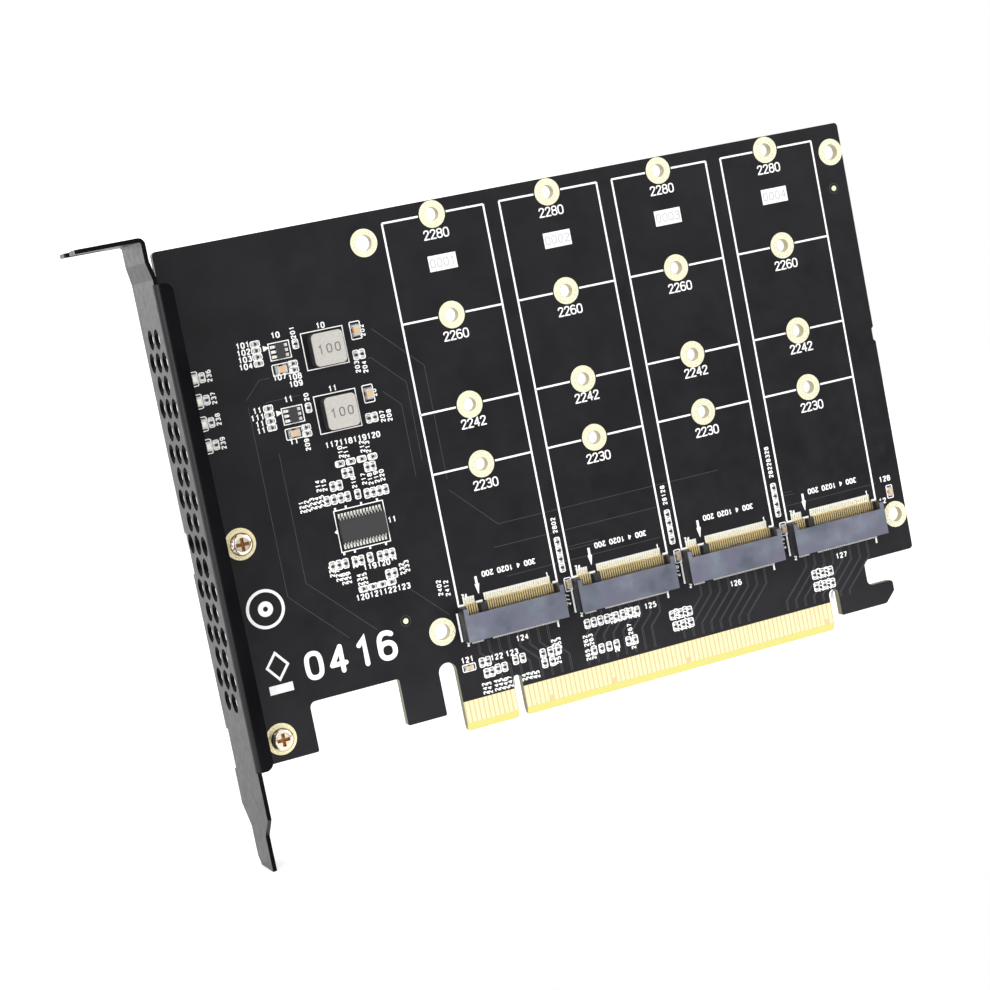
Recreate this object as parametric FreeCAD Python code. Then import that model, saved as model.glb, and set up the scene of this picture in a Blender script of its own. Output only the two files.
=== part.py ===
"""Expansion card that carries four M.2 solid state drives in one x16 slot.

A black circuit board stands on its gold edge contacts, with a folded and vented slot bracket at one end.
Units are millimetres. X runs along the card away from the bracket and is 0 at the middle of the key notch,
Y is 0 in the middle of the board's thickness with the components on the -Y face, and Z is 0 at the
bottom of the edge contacts and points up.
"""
import FreeCAD, Part
import math
import os

os.makedirs("parts", exist_ok=True)

# Circuit board
BOARD_THICKNESS = 1.6
BOARD_LEFT = -55.0
BOARD_RIGHT_MARGIN = 2.72
BOARD_TOP_MARGIN = 2.8
BOARD_RIGHT_BOTTOM = 12.7
BOARD_CORNER_RADIUS = 0.8
BOARD_INNER_RADIUS = 1.2
BITE_BOTTOM = 57.6
BITE_LENGTH = 3.2
BITE_DEPTH = 0.45
FOOT_BOTTOM = 4.05
FOOT_RIGHT = -42.87
STEP_BOTTOM = 13.85
TAB_WIDTH = 8.28
TAB_GAP = 3.77
TAB_BOTTOM = 4.3
TAB_SLOT_TOP = 14.5
END_RADIUS_SLACK = 0.01

# Edge tongue, its key notch, and the retention hook beside it
TONGUE_END_MARGIN = 0.65
TONGUE_CORNER_RADIUS = 0.6
KEY_WIDTH = 1.9
KEY_TOP = 8.5
BEVEL_HEIGHT = 1.5
BEVEL_DEPTH = 0.5
HOOK_GAP = 2.25
HOOK_NECK_WIDTH = 7.3
HOOK_WIDTH = 13.3
HOOK_TOP = 7.2
HOOK_BOTTOM = 2.6
HOOK_CHAMFER = 2.3

# Edge contacts
CONTACT_PITCH = 1.0
CONTACT_WIDTH = 0.7
CONTACT_TOP = 5.9
CONTACT_LENGTH = 4.3
CONTACT_SHORT_LENGTH = 3.2
CONTACT_COUNT = 82
CONTACTS_BEFORE_KEY = 11
KEY_TO_CONTACT = 1.5
FRONT_SHORT_CONTACTS = (17, 31, 48, 81)
BACK_SHORT_CONTACTS = (1,)
PLATING = 0.05

# Drive sockets and their contacts
PIN_PITCH = 0.5
PIN_POSITION_COUNT = 38
PIN_WIDTH = 0.28
PIN_THICKNESS = 0.2
FIRST_KEYED_PIN = 5
LAST_KEYED_PIN = 8
PIN_BEAM = 2.6
PIN_TOE = 1.3
REAR_TOE = 0.8
SLOT_END_MARGIN = 0.56
SLOT_WIDTH = PIN_PITCH * (PIN_POSITION_COUNT - 1) + PIN_WIDTH + 2 * SLOT_END_MARGIN
SLOT_DEPTH = 4.6
SLOT_FLOOR = 1.05
SLOT_GAP = 0.95
WINDOW_DEPTH = 1.55
WINDOW_FLOOR = 1.0
KEY_RIB_WIDTH = 1.2
SOCKET_END_WALL = 0.95
SOCKET_WIDTH = SLOT_WIDTH + 2 * SOCKET_END_WALL
SOCKET_BOTTOM = 17.7
SOCKET_MOUTH = 24.6
SOCKET_HEIGHT = 3.2
SOCKET_MOUTH_RADIUS = 0.4
SOCKET_SPACING = 3.1

# Plated holes
DRIVE_COUNT = 4
DRIVE_PITCH = SOCKET_WIDTH + SOCKET_SPACING
FIRST_DRIVE_X = 1.4
DRIVE_HOLE_RADIUS = 1.35
DRIVE_RING_RADIUS = 2.7
LONGEST_DRIVE_Z = 101.35
DRIVE_LENGTH_STEPS = (0.0, 20.0, 38.0, 50.0)
CORNER_HOLE_RADIUS = 1.6
CORNER_RING_RADIUS = 2.75
CORNER_HOLES_LEFT = -13.52
CORNER_HOLES_RIGHT_MARGIN = 15.08
CORNER_HOLES_BOTTOM = 20.7
CORNER_HOLES_TOP_MARGIN = 5.8

# Slot bracket, one folded sheet
SHEET = 0.8
BEND_RADIUS = 0.5
BRACKET_FACE_X = -58.87
BRACKET_WIDTH = 17.6
BRACKET_NEAR_Y = -13.86
BRACKET_TOP = 106.87
BRACKET_TIP = -14.0
JOG_DEPTH = 0.75
JOG_TOP = 102.3
JOG_BOTTOM = 99.0
LIP_LENGTH = 12.15
LIP_INSET = 1.2
LIP_NECK_START = 2.0
LIP_NECK_LENGTH = 3.0
LIP_NECK_INSET = 2.4
LIP_NOTCH_WIDTH = 4.42
LIP_NOTCH_DEPTH = 7.0
LIP_NOTCH_OFFSET = -1.15
LIP_MOUTH_FLARE = 0.3
TAIL_INSET = 4.11
TAIL_WIDTH = 9.5
TAIL_TAPER_NEAR_TOP = -3.3
TAIL_TAPER_NEAR_BOTTOM = -7.0
TAIL_TAPER_FAR_TOP = -2.5
TAIL_TAPER_FAR_BOTTOM = -6.4
TAIL_TIP_CHAMFER = 1.6
FLANGE_DEPTH = 3.37
FLANGE_TOP = 98.0
FLANGE_BOTTOM = 5.7
FLANGE_CORNER_RADIUS = 1.6
EAR_HEIGHT = 8.0
EAR_END_MARGIN = 4.4
EAR_STEP_START = 1.6
EAR_STEP_LENGTH = 2.6

# Vent holes in the bracket
VENT_ROWS = 17
VENT_RADIUS = 1.9
VENT_PITCH = 4.98
VENT_ROW_PITCH = 4.347
VENT_TOP_ROW_Z = 88.15
VENT_OFFSET = 0.06

# Bracket screws
SCREW_X = -49.8
SCREW_UPPER_Z = 46.9
SCREW_LOWER_Z = 8.4
SCREW_RADIUS = 1.5
SCREW_CLEARANCE = 0.15
SCREW_HEAD_RADIUS = 2.3
SCREW_HEAD_HEIGHT = 1.7
HEAD_RIM_SHARE = 0.45
HEAD_CROWN_SHARE = 0.55
HEAD_SHOULDER_SHARES = (0.88, 0.2)
SCREW_TIP = 1.4
SCREW_RECESS_SPAN = 2.6
SCREW_RECESS_WIDTH = 0.7
SCREW_RECESS_DEPTH = 0.9
SCREW_PAD_RADIUS = 3.1

# Power inductors
INDUCTOR_X = -25.5
INDUCTOR_UPPER_Z = 80.0
INDUCTOR_LOWER_Z = 67.6
INDUCTOR_SIDE = 6.35
INDUCTOR_HEIGHT = 2.9
INDUCTOR_FLANGE = 0.75
INDUCTOR_CORNER_RADIUS = 0.9
INDUCTOR_POST_RADIUS = 1.5
COIL_RADIUS = 2.75

# Regulators in six-lead packages
REGULATOR_X = -34.5
REGULATOR_UPPER_Z = 81.3
REGULATOR_LOWER_Z = 68.8
REGULATOR_WIDTH = 1.6
REGULATOR_LENGTH = 2.9
REGULATOR_HEIGHT = 1.1
REGULATOR_PITCH = 0.95
REGULATOR_LEAD_COUNT = 3
REGULATOR_LEAD_WIDTH = 0.4
REGULATOR_SPAN = 2.8

# Clock buffer in a 28-lead package
CLOCK_X = -25.3
CLOCK_Z = 44.7
CLOCK_LENGTH = 9.4
CLOCK_WIDTH = 4.4
CLOCK_HEIGHT = 1.1
CLOCK_PITCH = 0.65
CLOCK_LEAD_COUNT = 14
CLOCK_LEAD_WIDTH = 0.26
CLOCK_SPAN = 6.4

# Leads and package seats
LEAD_THICKNESS = 0.15
LEAD_FOOT = 0.3
BODY_STANDOFF = 0.1

# Two-terminal chip parts: length, width and height, and the share of the length at each metal end
CHIP_0402 = (1.0, 0.5, 0.35)
CHIP_0603 = (1.6, 0.8, 0.6)
CHIP_0805 = (2.0, 1.25, 0.9)
TERMINAL_SHARE = 0.22
LED_X = -51.95
LED_TOP_Z = 79.35
LED_PITCH = 4.33
LED_COUNT = 4
LED_RESISTOR_X = -50.4

# Round sighting marks of bare gold for the placing machine
SIGHT_RADIUS = 0.55
FIRST_SIGHT = (-20.5, 24.6)
LAST_SIGHT_FROM_CORNER = (-0.68, -13.35)

# Small chips around each regulator, from its own place: x, z, x step, z step, how many, upright
REGULATOR_CHIPS = (
    (-4.5, 2.2, 0, -1.25, 4, False),
    (3.4, 0.7, 0, 0, 1, True),
    (2.1, -2.9, 0, -1.2, 2, False),
    (14.9, -3.8, 1.25, 0, 2, True),
)
REGULATOR_INPUT_CAPACITOR = (-0.4, -3.5)
REGULATOR_OUTPUT_CAPACITOR = (15.8, 0.9)

# Small chips around the clock buffer, from its own place, and between the sockets and the edge contacts
CLOCK_CHIPS = (
    (-1.9, 12.9, 2.25, 0, 4, False),
    (-1.3, 10.9, 1.15, 0, 2, True),
    (3.4, 11.1, 1.15, 0, 2, True),
    (-4.2, 8.9, 1.35, 0, 2, True),
    (-5.9, 6.4, 1.4, 0, 4, True),
    (0.4, 6.4, 0, 0, 1, True),
    (2.3, 6.1, 1.28, 0, 4, True),
    (-7.5, -6.2, 1.35, 0, 3, True),
    (-2.8, -6.3, 1.25, 0, 2, True),
    (0.3, -6.2, 0, 0, 1, True),
    (2.4, -6.4, 1.25, 0, 3, True),
    (3.3, -10.3, 1.25, 0, 2, True),
    (-2.3, -11.9, 1.95, 0, 4, False),
)
LOWER_CHIPS = (
    (-6.65, 12.7, 1.3, 0, 2, True),
    (-6.1, 10.4, 1.15, 0, 2, True),
    (-3.6, 10.7, 1.45, 0, 2, True),
    (0.4, 11.5, 1.6, 0, 2, True),
    (6.4, 11.3, 1.7, 0, 3, True),
    (6.4, 9.3, 1.7, 0, 2, True),
    (17.0, 14.8, 1.5, 0, 4, True),
    (23.5, 14.8, 1.6, 0, 4, True),
    (17.4, 9.2, 1.7, 0, 4, True),
    (25.2, 9.2, 1.5, 0, 2, True),
    (35.8, 12.0, 2.0, 0, 3, True),
    (36.1, 9.6, 1.8, 0, 3, True),
    (69.6, 12.5, 1.95, 0, 3, True),
    (69.6, 9.9, 1.95, 0, 3, True),
)
SOCKET_CAPACITOR_CLEARANCE = 0.4
SOCKET_CAPACITOR_Z = 23.6
STRIP_SHIFT = 0.2
STRIP_CHIPS_TOP = 32.5
STRIP_CHIP_PITCH = 1.75
STRIP_CHIP_COUNT = 4
LOWER_CAPACITOR = (-9.5, 12.4)
LAST_CAPACITOR_FROM_HOLE = (-0.38, 5.0)

FRONT = -BOARD_THICKNESS / 2
BACK = BOARD_THICKNESS / 2
NORMAL = FreeCAD.Vector(0, 1, 0)


def vec(x, y, z):
    return FreeCAD.Vector(x, y, z)


def box(x0, x1, y0, y1, z0, z1):
    """Box between two corners."""
    return Part.makeBox(x1 - x0, y1 - y0, z1 - z0, vec(x0, y0, z0))


def rod(x, z, radius, y0, y1):
    """Cylinder along Y from y0 to y1."""
    return Part.makeCylinder(radius, y1 - y0, vec(x, y0, z), NORMAL)


def rounded_wire(corners, place):
    """Closed wire through corners (u, v, radius), with each corner rounded by its own radius."""
    edges = []
    starts = []
    count = len(corners)
    for i in range(count):
        before, here, after = corners[i - 1], corners[i], corners[(i + 1) % count]
        tip = FreeCAD.Vector(here[0], here[1], 0)
        back = (FreeCAD.Vector(before[0], before[1], 0) - tip).normalize()
        ahead = (FreeCAD.Vector(after[0], after[1], 0) - tip).normalize()
        half = back.getAngle(ahead) / 2
        radius = here[2]
        if radius == 0:
            starts.append((tip, None, tip))
            continue
        reach = radius / math.tan(half)
        bisector = (back + ahead).normalize()
        middle = tip + bisector * (radius / math.sin(half) - radius)
        starts.append((tip + back * reach, middle, tip + ahead * reach))
    for i in range(count):
        first, middle, last = starts[i]
        following = starts[(i + 1) % count][0]
        if middle is not None:
            edges.append(Part.Arc(place(first), place(middle), place(last)).toShape())
        if last.distanceToPoint(following) > 1e-6:
            edges.append(Part.makeLine(place(last), place(following)))
    return Part.Wire(edges)


def plate_xz(corners, y0, y1):
    """Plate with a rounded outline in the XZ plane, between y0 and y1."""
    face = Part.Face(rounded_wire(corners, lambda p: vec(p.x, y0, p.y)))
    return face.extrude(vec(0, y1 - y0, 0))


def plate_yz(corners, x0, x1):
    """Plate with a rounded outline in the YZ plane, between x0 and x1."""
    face = Part.Face(rounded_wire(corners, lambda p: vec(x0, p.x, p.y)))
    return face.extrude(vec(x1 - x0, 0, 0))


def strip_face(points, thickness, inner_radius, place):
    """Face of a bent strip along a middle line of points, its bends concentric, or sharp at radius 0."""
    outer_radius = inner_radius + thickness if inner_radius > 0 else 0
    middle = [vec(u, v, 0) for u, v in points]
    left = []
    right = []
    for i, here in enumerate(middle):
        runs = []
        if i > 0:
            runs.append((here - middle[i - 1]).normalize())
        if i + 1 < len(middle):
            runs.append((middle[i + 1] - here).normalize())
        along = (runs[0] + runs[-1]).normalize()
        offset = thickness / 2 / math.cos(runs[0].getAngle(runs[-1]) / 2)
        side = vec(-along.y, along.x, 0) * offset
        turn = runs[0].x * runs[-1].y - runs[0].y * runs[-1].x
        bend = abs(turn) > 1e-9
        left.append((here + side, (inner_radius if turn > 0 else outer_radius) if bend else 0))
        right.append((here - side, (outer_radius if turn > 0 else inner_radius) if bend else 0))
    return Part.Face(rounded_wire([(p.x, p.y, radius) for p, radius in left + right[::-1]], place))


def only_solid(shape):
    """The one solid of a cleaned boolean result."""
    clean = shape.removeSplitter()
    if len(clean.Solids) != 1:
        raise ValueError("expected one solid")
    return clean.Solids[0]


def group(shapes):
    """Separate like pieces that share one node."""
    return Part.makeCompound([piece for shape in shapes for piece in shape.Solids])


def save(node, shape):
    shape.exportStep(f"parts/{node}.step")


def regulator_places():
    return [REGULATOR_UPPER_Z, REGULATOR_LOWER_Z]


def drive_columns():
    return [FIRST_DRIVE_X + DRIVE_PITCH * i for i in range(DRIVE_COUNT)]


def between_columns():
    """Middle of each strip between the outlines of two neighbouring drives."""
    columns = drive_columns()
    return [(left + right) / 2 + STRIP_SHIFT for left, right in zip(columns, columns[1:])]


def drive_rows():
    return [LONGEST_DRIVE_Z - step for step in DRIVE_LENGTH_STEPS]


def corner_holes():
    return [
        (x, z)
        for x in (CORNER_HOLES_LEFT, corner_holes_right())
        for z in (CORNER_HOLES_BOTTOM, board_top() - CORNER_HOLES_TOP_MARGIN)
    ]


def board_top():
    return LONGEST_DRIVE_Z + BOARD_TOP_MARGIN


def corner_holes_right():
    return drive_columns()[-1] + CORNER_HOLES_RIGHT_MARGIN


def screw_places():
    return [SCREW_UPPER_Z, SCREW_LOWER_Z]


def circuit_board():
    """Board outline with foot, tab, keyed tongue and hook, drilled for drives, corners and bracket screws."""
    corner, inner = BOARD_CORNER_RADIUS, BOARD_INNER_RADIUS
    top = board_top()
    right = corner_holes_right() + BOARD_RIGHT_MARGIN
    tongue_left = contact_x(1) - TONGUE_END_MARGIN
    tongue_right = contact_x(CONTACT_COUNT) + TONGUE_END_MARGIN
    tab_right = tongue_left - TAB_GAP
    tab_left = tab_right - TAB_WIDTH
    hook_left = tongue_right + HOOK_GAP
    hook_right = hook_left + HOOK_WIDTH
    neck_right = hook_left + HOOK_NECK_WIDTH
    slot_round = TAB_GAP / 2 - END_RADIUS_SLACK
    key_round = KEY_WIDTH / 2 - END_RADIUS_SLACK
    hook_round = HOOK_GAP / 2 - END_RADIUS_SLACK
    bite_top = BITE_BOTTOM + BITE_LENGTH
    outline = [
        (BOARD_LEFT, top, corner),
        (right, top, corner),
        (right, bite_top, 0),
        (right - BITE_DEPTH, bite_top - BITE_DEPTH, 0),
        (right - BITE_DEPTH, BITE_BOTTOM + BITE_DEPTH, 0),
        (right, BITE_BOTTOM, 0),
        (right, BOARD_RIGHT_BOTTOM, corner),
        (neck_right, BOARD_RIGHT_BOTTOM, inner),
        (neck_right, HOOK_TOP, inner),
        (hook_right, HOOK_TOP, corner),
        (hook_right, HOOK_BOTTOM + HOOK_CHAMFER, corner),
        (hook_right - HOOK_CHAMFER, HOOK_BOTTOM, corner),
        (hook_left, HOOK_BOTTOM, corner / 2),
        (hook_left, KEY_TOP, hook_round),
        (tongue_right, KEY_TOP, hook_round),
        (tongue_right, 0, TONGUE_CORNER_RADIUS),
        (KEY_WIDTH / 2, 0, TONGUE_CORNER_RADIUS),
        (KEY_WIDTH / 2, KEY_TOP, key_round),
        (-KEY_WIDTH / 2, KEY_TOP, key_round),
        (-KEY_WIDTH / 2, 0, TONGUE_CORNER_RADIUS),
        (tongue_left, 0, TONGUE_CORNER_RADIUS),
        (tongue_left, TAB_SLOT_TOP, slot_round),
        (tab_right, TAB_SLOT_TOP, slot_round),
        (tab_right, TAB_BOTTOM, corner / 2),
        (tab_left, TAB_BOTTOM, corner / 2),
        (tab_left, STEP_BOTTOM, inner / 2),
        (FOOT_RIGHT, STEP_BOTTOM, inner),
        (FOOT_RIGHT, FOOT_BOTTOM, corner / 2),
        (BOARD_LEFT, FOOT_BOTTOM, corner),
    ]
    board = plate_xz(outline, FRONT, BACK)
    cuts = [rod(x, z, DRIVE_HOLE_RADIUS, FRONT, BACK) for x in drive_columns() for z in drive_rows()]
    cuts += [rod(x, z, CORNER_HOLE_RADIUS, FRONT, BACK) for x, z in corner_holes()]
    cuts += [rod(SCREW_X, z, SCREW_RADIUS + SCREW_CLEARANCE, FRONT, BACK) for z in screw_places()]
    for face, depth in ((FRONT, BEVEL_DEPTH), (BACK, -BEVEL_DEPTH)):
        wedge = Part.Face(Part.makePolygon([
            vec(tongue_left, face, 0),
            vec(tongue_left, face, BEVEL_HEIGHT),
            vec(tongue_left, face + depth, 0),
            vec(tongue_left, face, 0),
        ]))
        cuts.append(wedge.extrude(vec(tongue_right - tongue_left, 0, 0)))
    return only_solid(board.cut(cuts))


def contact_x(number):
    """Middle of an edge contact, counted from the bracket end."""
    if number <= CONTACTS_BEFORE_KEY:
        return -KEY_TO_CONTACT - CONTACT_PITCH * (CONTACTS_BEFORE_KEY - number)
    return KEY_TO_CONTACT + CONTACT_PITCH * (number - CONTACTS_BEFORE_KEY - 1)


def edge_contacts(face, outward, short_ones):
    """One row of plated edge contacts on a face of the board."""
    row = []
    y0, y1 = sorted((face, face + outward * PLATING))
    for number in range(1, CONTACT_COUNT + 1):
        left = contact_x(number) - CONTACT_WIDTH / 2
        length = CONTACT_SHORT_LENGTH if number in short_ones else CONTACT_LENGTH
        row.append(box(left, left + CONTACT_WIDTH, y0, y1, CONTACT_TOP - length, CONTACT_TOP))
    return group(row)


def plated_ring(x, z, hole_radius, ring_radius):
    """Annular pad on the component face around a hole."""
    return rod(x, z, ring_radius, FRONT - PLATING, FRONT).cut(rod(x, z, hole_radius, FRONT - PLATING, FRONT))


def bracket_side_profile():
    """Lip, top bend, outward jog and long face, as one strip bent in the XZ plane."""
    middle_x = BRACKET_FACE_X + SHEET / 2
    top_x = middle_x - JOG_DEPTH
    lip_end = BRACKET_FACE_X - JOG_DEPTH - LIP_LENGTH
    points = [
        (lip_end, BRACKET_TOP - SHEET / 2),
        (top_x, BRACKET_TOP - SHEET / 2),
        (top_x, JOG_TOP),
        (middle_x, JOG_BOTTOM),
        (middle_x, BRACKET_TIP),
    ]
    face = strip_face(points, SHEET, BEND_RADIUS, lambda p: vec(p.x, BRACKET_NEAR_Y, p.y))
    return face.extrude(vec(0, BRACKET_WIDTH, 0))


def bracket_outline_cut():
    """What the tapered tail and the narrower lip leave away beside the long face."""
    far_y = BRACKET_NEAR_Y + BRACKET_WIDTH
    near_tail = BRACKET_NEAR_Y + TAIL_INSET
    far_tail = near_tail + TAIL_WIDTH
    x0, x1 = BRACKET_FACE_X - JOG_DEPTH, BRACKET_FACE_X + SHEET + JOG_DEPTH
    near = [
        (BRACKET_NEAR_Y, TAIL_TAPER_NEAR_TOP, 0),
        (near_tail, TAIL_TAPER_NEAR_BOTTOM, 0),
        (near_tail, BRACKET_TIP, 0),
        (BRACKET_NEAR_Y, BRACKET_TIP, 0),
    ]
    far = [
        (far_y, TAIL_TAPER_FAR_TOP, 0),
        (far_tail, TAIL_TAPER_FAR_BOTTOM, 0),
        (far_tail, BRACKET_TIP + TAIL_TIP_CHAMFER, 0),
        (far_tail - TAIL_TIP_CHAMFER, BRACKET_TIP, 0),
        (far_y, BRACKET_TIP, 0),
    ]
    lip_far = far_y - LIP_INSET
    upper = [
        (far_y, JOG_BOTTOM, 0),
        (far_y, BRACKET_TOP, 0),
        (lip_far, BRACKET_TOP, 0),
        (lip_far, JOG_TOP, 0),
    ]
    face_x = BRACKET_FACE_X - JOG_DEPTH
    end_x = face_x - LIP_LENGTH
    neck_x = face_x - LIP_NECK_START
    lip_corners = [
        (neck_x, far_y, 0),
        (neck_x, lip_far, 0),
        (neck_x - LIP_NECK_LENGTH, lip_far - LIP_NECK_INSET, 0),
        (end_x, lip_far - LIP_NECK_INSET, 0),
        (end_x, far_y, 0),
    ]
    z0 = BRACKET_TOP - SHEET
    lip_side = Part.Face(rounded_wire(lip_corners, lambda p: vec(p.x, p.y, z0))).extrude(vec(0, 0, SHEET))
    return [plate_yz(near, x0, x1), plate_yz(far, x0, x1), plate_yz(upper, end_x, x1), lip_side]


def lip_notch():
    """Open screw notch in the lip, flared at its mouth."""
    middle_y = BRACKET_NEAR_Y + BRACKET_WIDTH / 2 + LIP_NOTCH_OFFSET
    end_x = BRACKET_FACE_X - JOG_DEPTH - LIP_LENGTH
    half = LIP_NOTCH_WIDTH / 2
    floor_x = end_x + LIP_NOTCH_DEPTH
    z0 = BRACKET_TOP - SHEET
    corners = [
        (end_x, middle_y - half - LIP_MOUTH_FLARE, 0),
        (end_x + LIP_MOUTH_FLARE, middle_y - half, 0),
        (floor_x, middle_y - half, half - END_RADIUS_SLACK),
        (floor_x, middle_y + half, half - END_RADIUS_SLACK),
        (end_x + LIP_MOUTH_FLARE, middle_y + half, 0),
        (end_x, middle_y + half + LIP_MOUTH_FLARE, 0),
    ]
    face = Part.Face(rounded_wire(corners, lambda p: vec(p.x, p.y, z0)))
    return face.extrude(vec(0, 0, SHEET))


def bracket_vents():
    """Staggered rows of two and three round vents through the long face."""
    middle_y = BRACKET_NEAR_Y + BRACKET_WIDTH / 2 + VENT_OFFSET
    holes = []
    for row in range(VENT_ROWS):
        offsets = (-0.5, 0.5) if row % 2 == 0 else (-1, 0, 1)
        z = VENT_TOP_ROW_Z - VENT_ROW_PITCH * row
        for offset in offsets:
            start = vec(BRACKET_FACE_X, middle_y + offset * VENT_PITCH, z)
            holes.append(Part.makeCylinder(VENT_RADIUS, SHEET, start, vec(1, 0, 0)))
    return holes


def bracket_flange():
    """Stiffening flange folded inward along the near edge of the long face."""
    middle_x = BRACKET_FACE_X + SHEET / 2
    middle_y = BRACKET_NEAR_Y + SHEET / 2
    points = [
        (middle_x, middle_y + SHEET + BEND_RADIUS),
        (middle_x, middle_y),
        (BRACKET_FACE_X + FLANGE_DEPTH, middle_y),
    ]
    face = strip_face(points, SHEET, BEND_RADIUS, lambda p: vec(p.x, p.y, FLANGE_BOTTOM))
    flange = face.extrude(vec(0, 0, FLANGE_TOP - FLANGE_BOTTOM))
    right = BRACKET_FACE_X + FLANGE_DEPTH
    outline = [
        (BRACKET_FACE_X, FLANGE_TOP, 0),
        (right, FLANGE_TOP, FLANGE_CORNER_RADIUS),
        (right, FLANGE_BOTTOM, FLANGE_CORNER_RADIUS),
        (BRACKET_FACE_X, FLANGE_BOTTOM, 0),
    ]
    return flange.common(plate_xz(outline, BRACKET_NEAR_Y, BRACKET_NEAR_Y + 3 * SHEET))


def bracket_ear(z):
    """Ear folded from the far edge and stepped forward to lie on the back of the board."""
    middle_x = BRACKET_FACE_X + SHEET / 2
    far_middle = BRACKET_NEAR_Y + BRACKET_WIDTH - SHEET / 2
    seat_middle = BACK + SHEET / 2
    step_x = BRACKET_FACE_X + SHEET + EAR_STEP_START
    points = [
        (middle_x, far_middle - SHEET - BEND_RADIUS),
        (middle_x, far_middle),
        (step_x, far_middle),
        (step_x + EAR_STEP_LENGTH, seat_middle),
        (SCREW_X + EAR_END_MARGIN, seat_middle),
    ]
    z0 = z - EAR_HEIGHT / 2
    face = strip_face(points, SHEET, BEND_RADIUS, lambda p: vec(p.x, p.y, z0))
    ear = face.extrude(vec(0, 0, EAR_HEIGHT))
    return ear.cut(rod(SCREW_X, z, SCREW_RADIUS, BACK, BACK + SHEET))


def slot_bracket():
    """The folded sheet: long vented face, lip, tail, stiffening flange and two ears."""
    sheet = bracket_side_profile()
    x0, x1 = BRACKET_FACE_X, BRACKET_FACE_X + SHEET
    bend = SHEET + BEND_RADIUS
    near_y, far_y = BRACKET_NEAR_Y, BRACKET_NEAR_Y + BRACKET_WIDTH
    folded_strips = [box(x0, x1, near_y, near_y + bend, FLANGE_BOTTOM, FLANGE_TOP)]
    for z in screw_places():
        folded_strips.append(box(x0, x1, far_y - bend, far_y, z - EAR_HEIGHT / 2, z + EAR_HEIGHT / 2))
    sheet = sheet.cut(folded_strips + bracket_outline_cut() + [lip_notch()] + bracket_vents())
    folds = [bracket_flange()] + [bracket_ear(z) for z in screw_places()]
    return only_solid(sheet.fuse(folds))


def bracket_screw(z):
    """Pan head machine screw with a cross recess, from the component face into an ear."""
    seat = FRONT - PLATING
    top = seat - SCREW_HEAD_HEIGHT
    tip = BACK + SHEET + SCREW_TIP
    rim = seat - SCREW_HEAD_HEIGHT * HEAD_RIM_SHARE
    crown = SCREW_HEAD_RADIUS * HEAD_CROWN_SHARE
    out_share, down_share = HEAD_SHOULDER_SHARES
    shoulder = vec(SCREW_HEAD_RADIUS * out_share, top + SCREW_HEAD_HEIGHT * down_share, 0)
    shank = SCREW_RADIUS - SCREW_CLEARANCE / 3
    profile = [
        Part.makeLine(vec(0, tip, 0), vec(shank, tip, 0)),
        Part.makeLine(vec(shank, tip, 0), vec(shank, seat, 0)),
        Part.makeLine(vec(shank, seat, 0), vec(SCREW_HEAD_RADIUS, seat, 0)),
        Part.makeLine(vec(SCREW_HEAD_RADIUS, seat, 0), vec(SCREW_HEAD_RADIUS, rim, 0)),
        Part.Arc(vec(SCREW_HEAD_RADIUS, rim, 0), shoulder, vec(crown, top, 0)).toShape(),
        Part.makeLine(vec(crown, top, 0), vec(0, top, 0)),
        Part.makeLine(vec(0, top, 0), vec(0, tip, 0)),
    ]
    turned = Part.Face(Part.Wire(profile)).revolve(vec(0, 0, 0), NORMAL, 360)
    half, arm = SCREW_RECESS_SPAN / 2, SCREW_RECESS_WIDTH / 2
    floor = top + SCREW_RECESS_DEPTH
    cross = box(-half, half, top, floor, -arm, arm).fuse(box(-arm, arm, top, floor, -half, half))
    screw = only_solid(turned.cut(cross))
    screw.translate(vec(SCREW_X, 0, z))
    return screw


def socket_housing(x):
    """Moulded drive socket with its module slot, contact window and key rib, mouth upward."""
    top = FRONT - SOCKET_HEIGHT
    half = SOCKET_WIDTH / 2
    body = box(x - half, x + half, top, FRONT, SOCKET_BOTTOM, SOCKET_MOUTH)
    mouth_edges = [
        edge for edge in body.Edges
        if abs(edge.BoundBox.ZMin - SOCKET_MOUTH) < 1e-6
        and abs(edge.BoundBox.YMax - top) < 1e-6
        and edge.BoundBox.XLength > half
    ]
    body = body.makeFillet(SOCKET_MOUTH_RADIUS, mouth_edges)
    slot_half = SLOT_WIDTH / 2
    slot_back = FRONT - SLOT_FLOOR
    slot_front = slot_back - SLOT_GAP
    slot = box(x - slot_half, x + slot_half, slot_front, slot_back, SOCKET_MOUTH - SLOT_DEPTH, SOCKET_MOUTH)
    window = box(x - slot_half, x + slot_half, top, slot_front, SOCKET_MOUTH - WINDOW_DEPTH, SOCKET_MOUTH)
    rib = box(
        key_rib_x(x) - KEY_RIB_WIDTH / 2, key_rib_x(x) + KEY_RIB_WIDTH / 2,
        top + WINDOW_FLOOR, slot_back, SOCKET_MOUTH - SLOT_DEPTH, SOCKET_MOUTH,
    )
    return only_solid(body.cut([slot, window]).fuse(rib))


def pin_x(x, position):
    """Middle of a socket contact, counted from the keyed end."""
    return x + PIN_PITCH * (position - (PIN_POSITION_COUNT - 1) / 2)


def key_rib_x(x):
    return (pin_x(x, FIRST_KEYED_PIN) + pin_x(x, LAST_KEYED_PIN)) / 2


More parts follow.
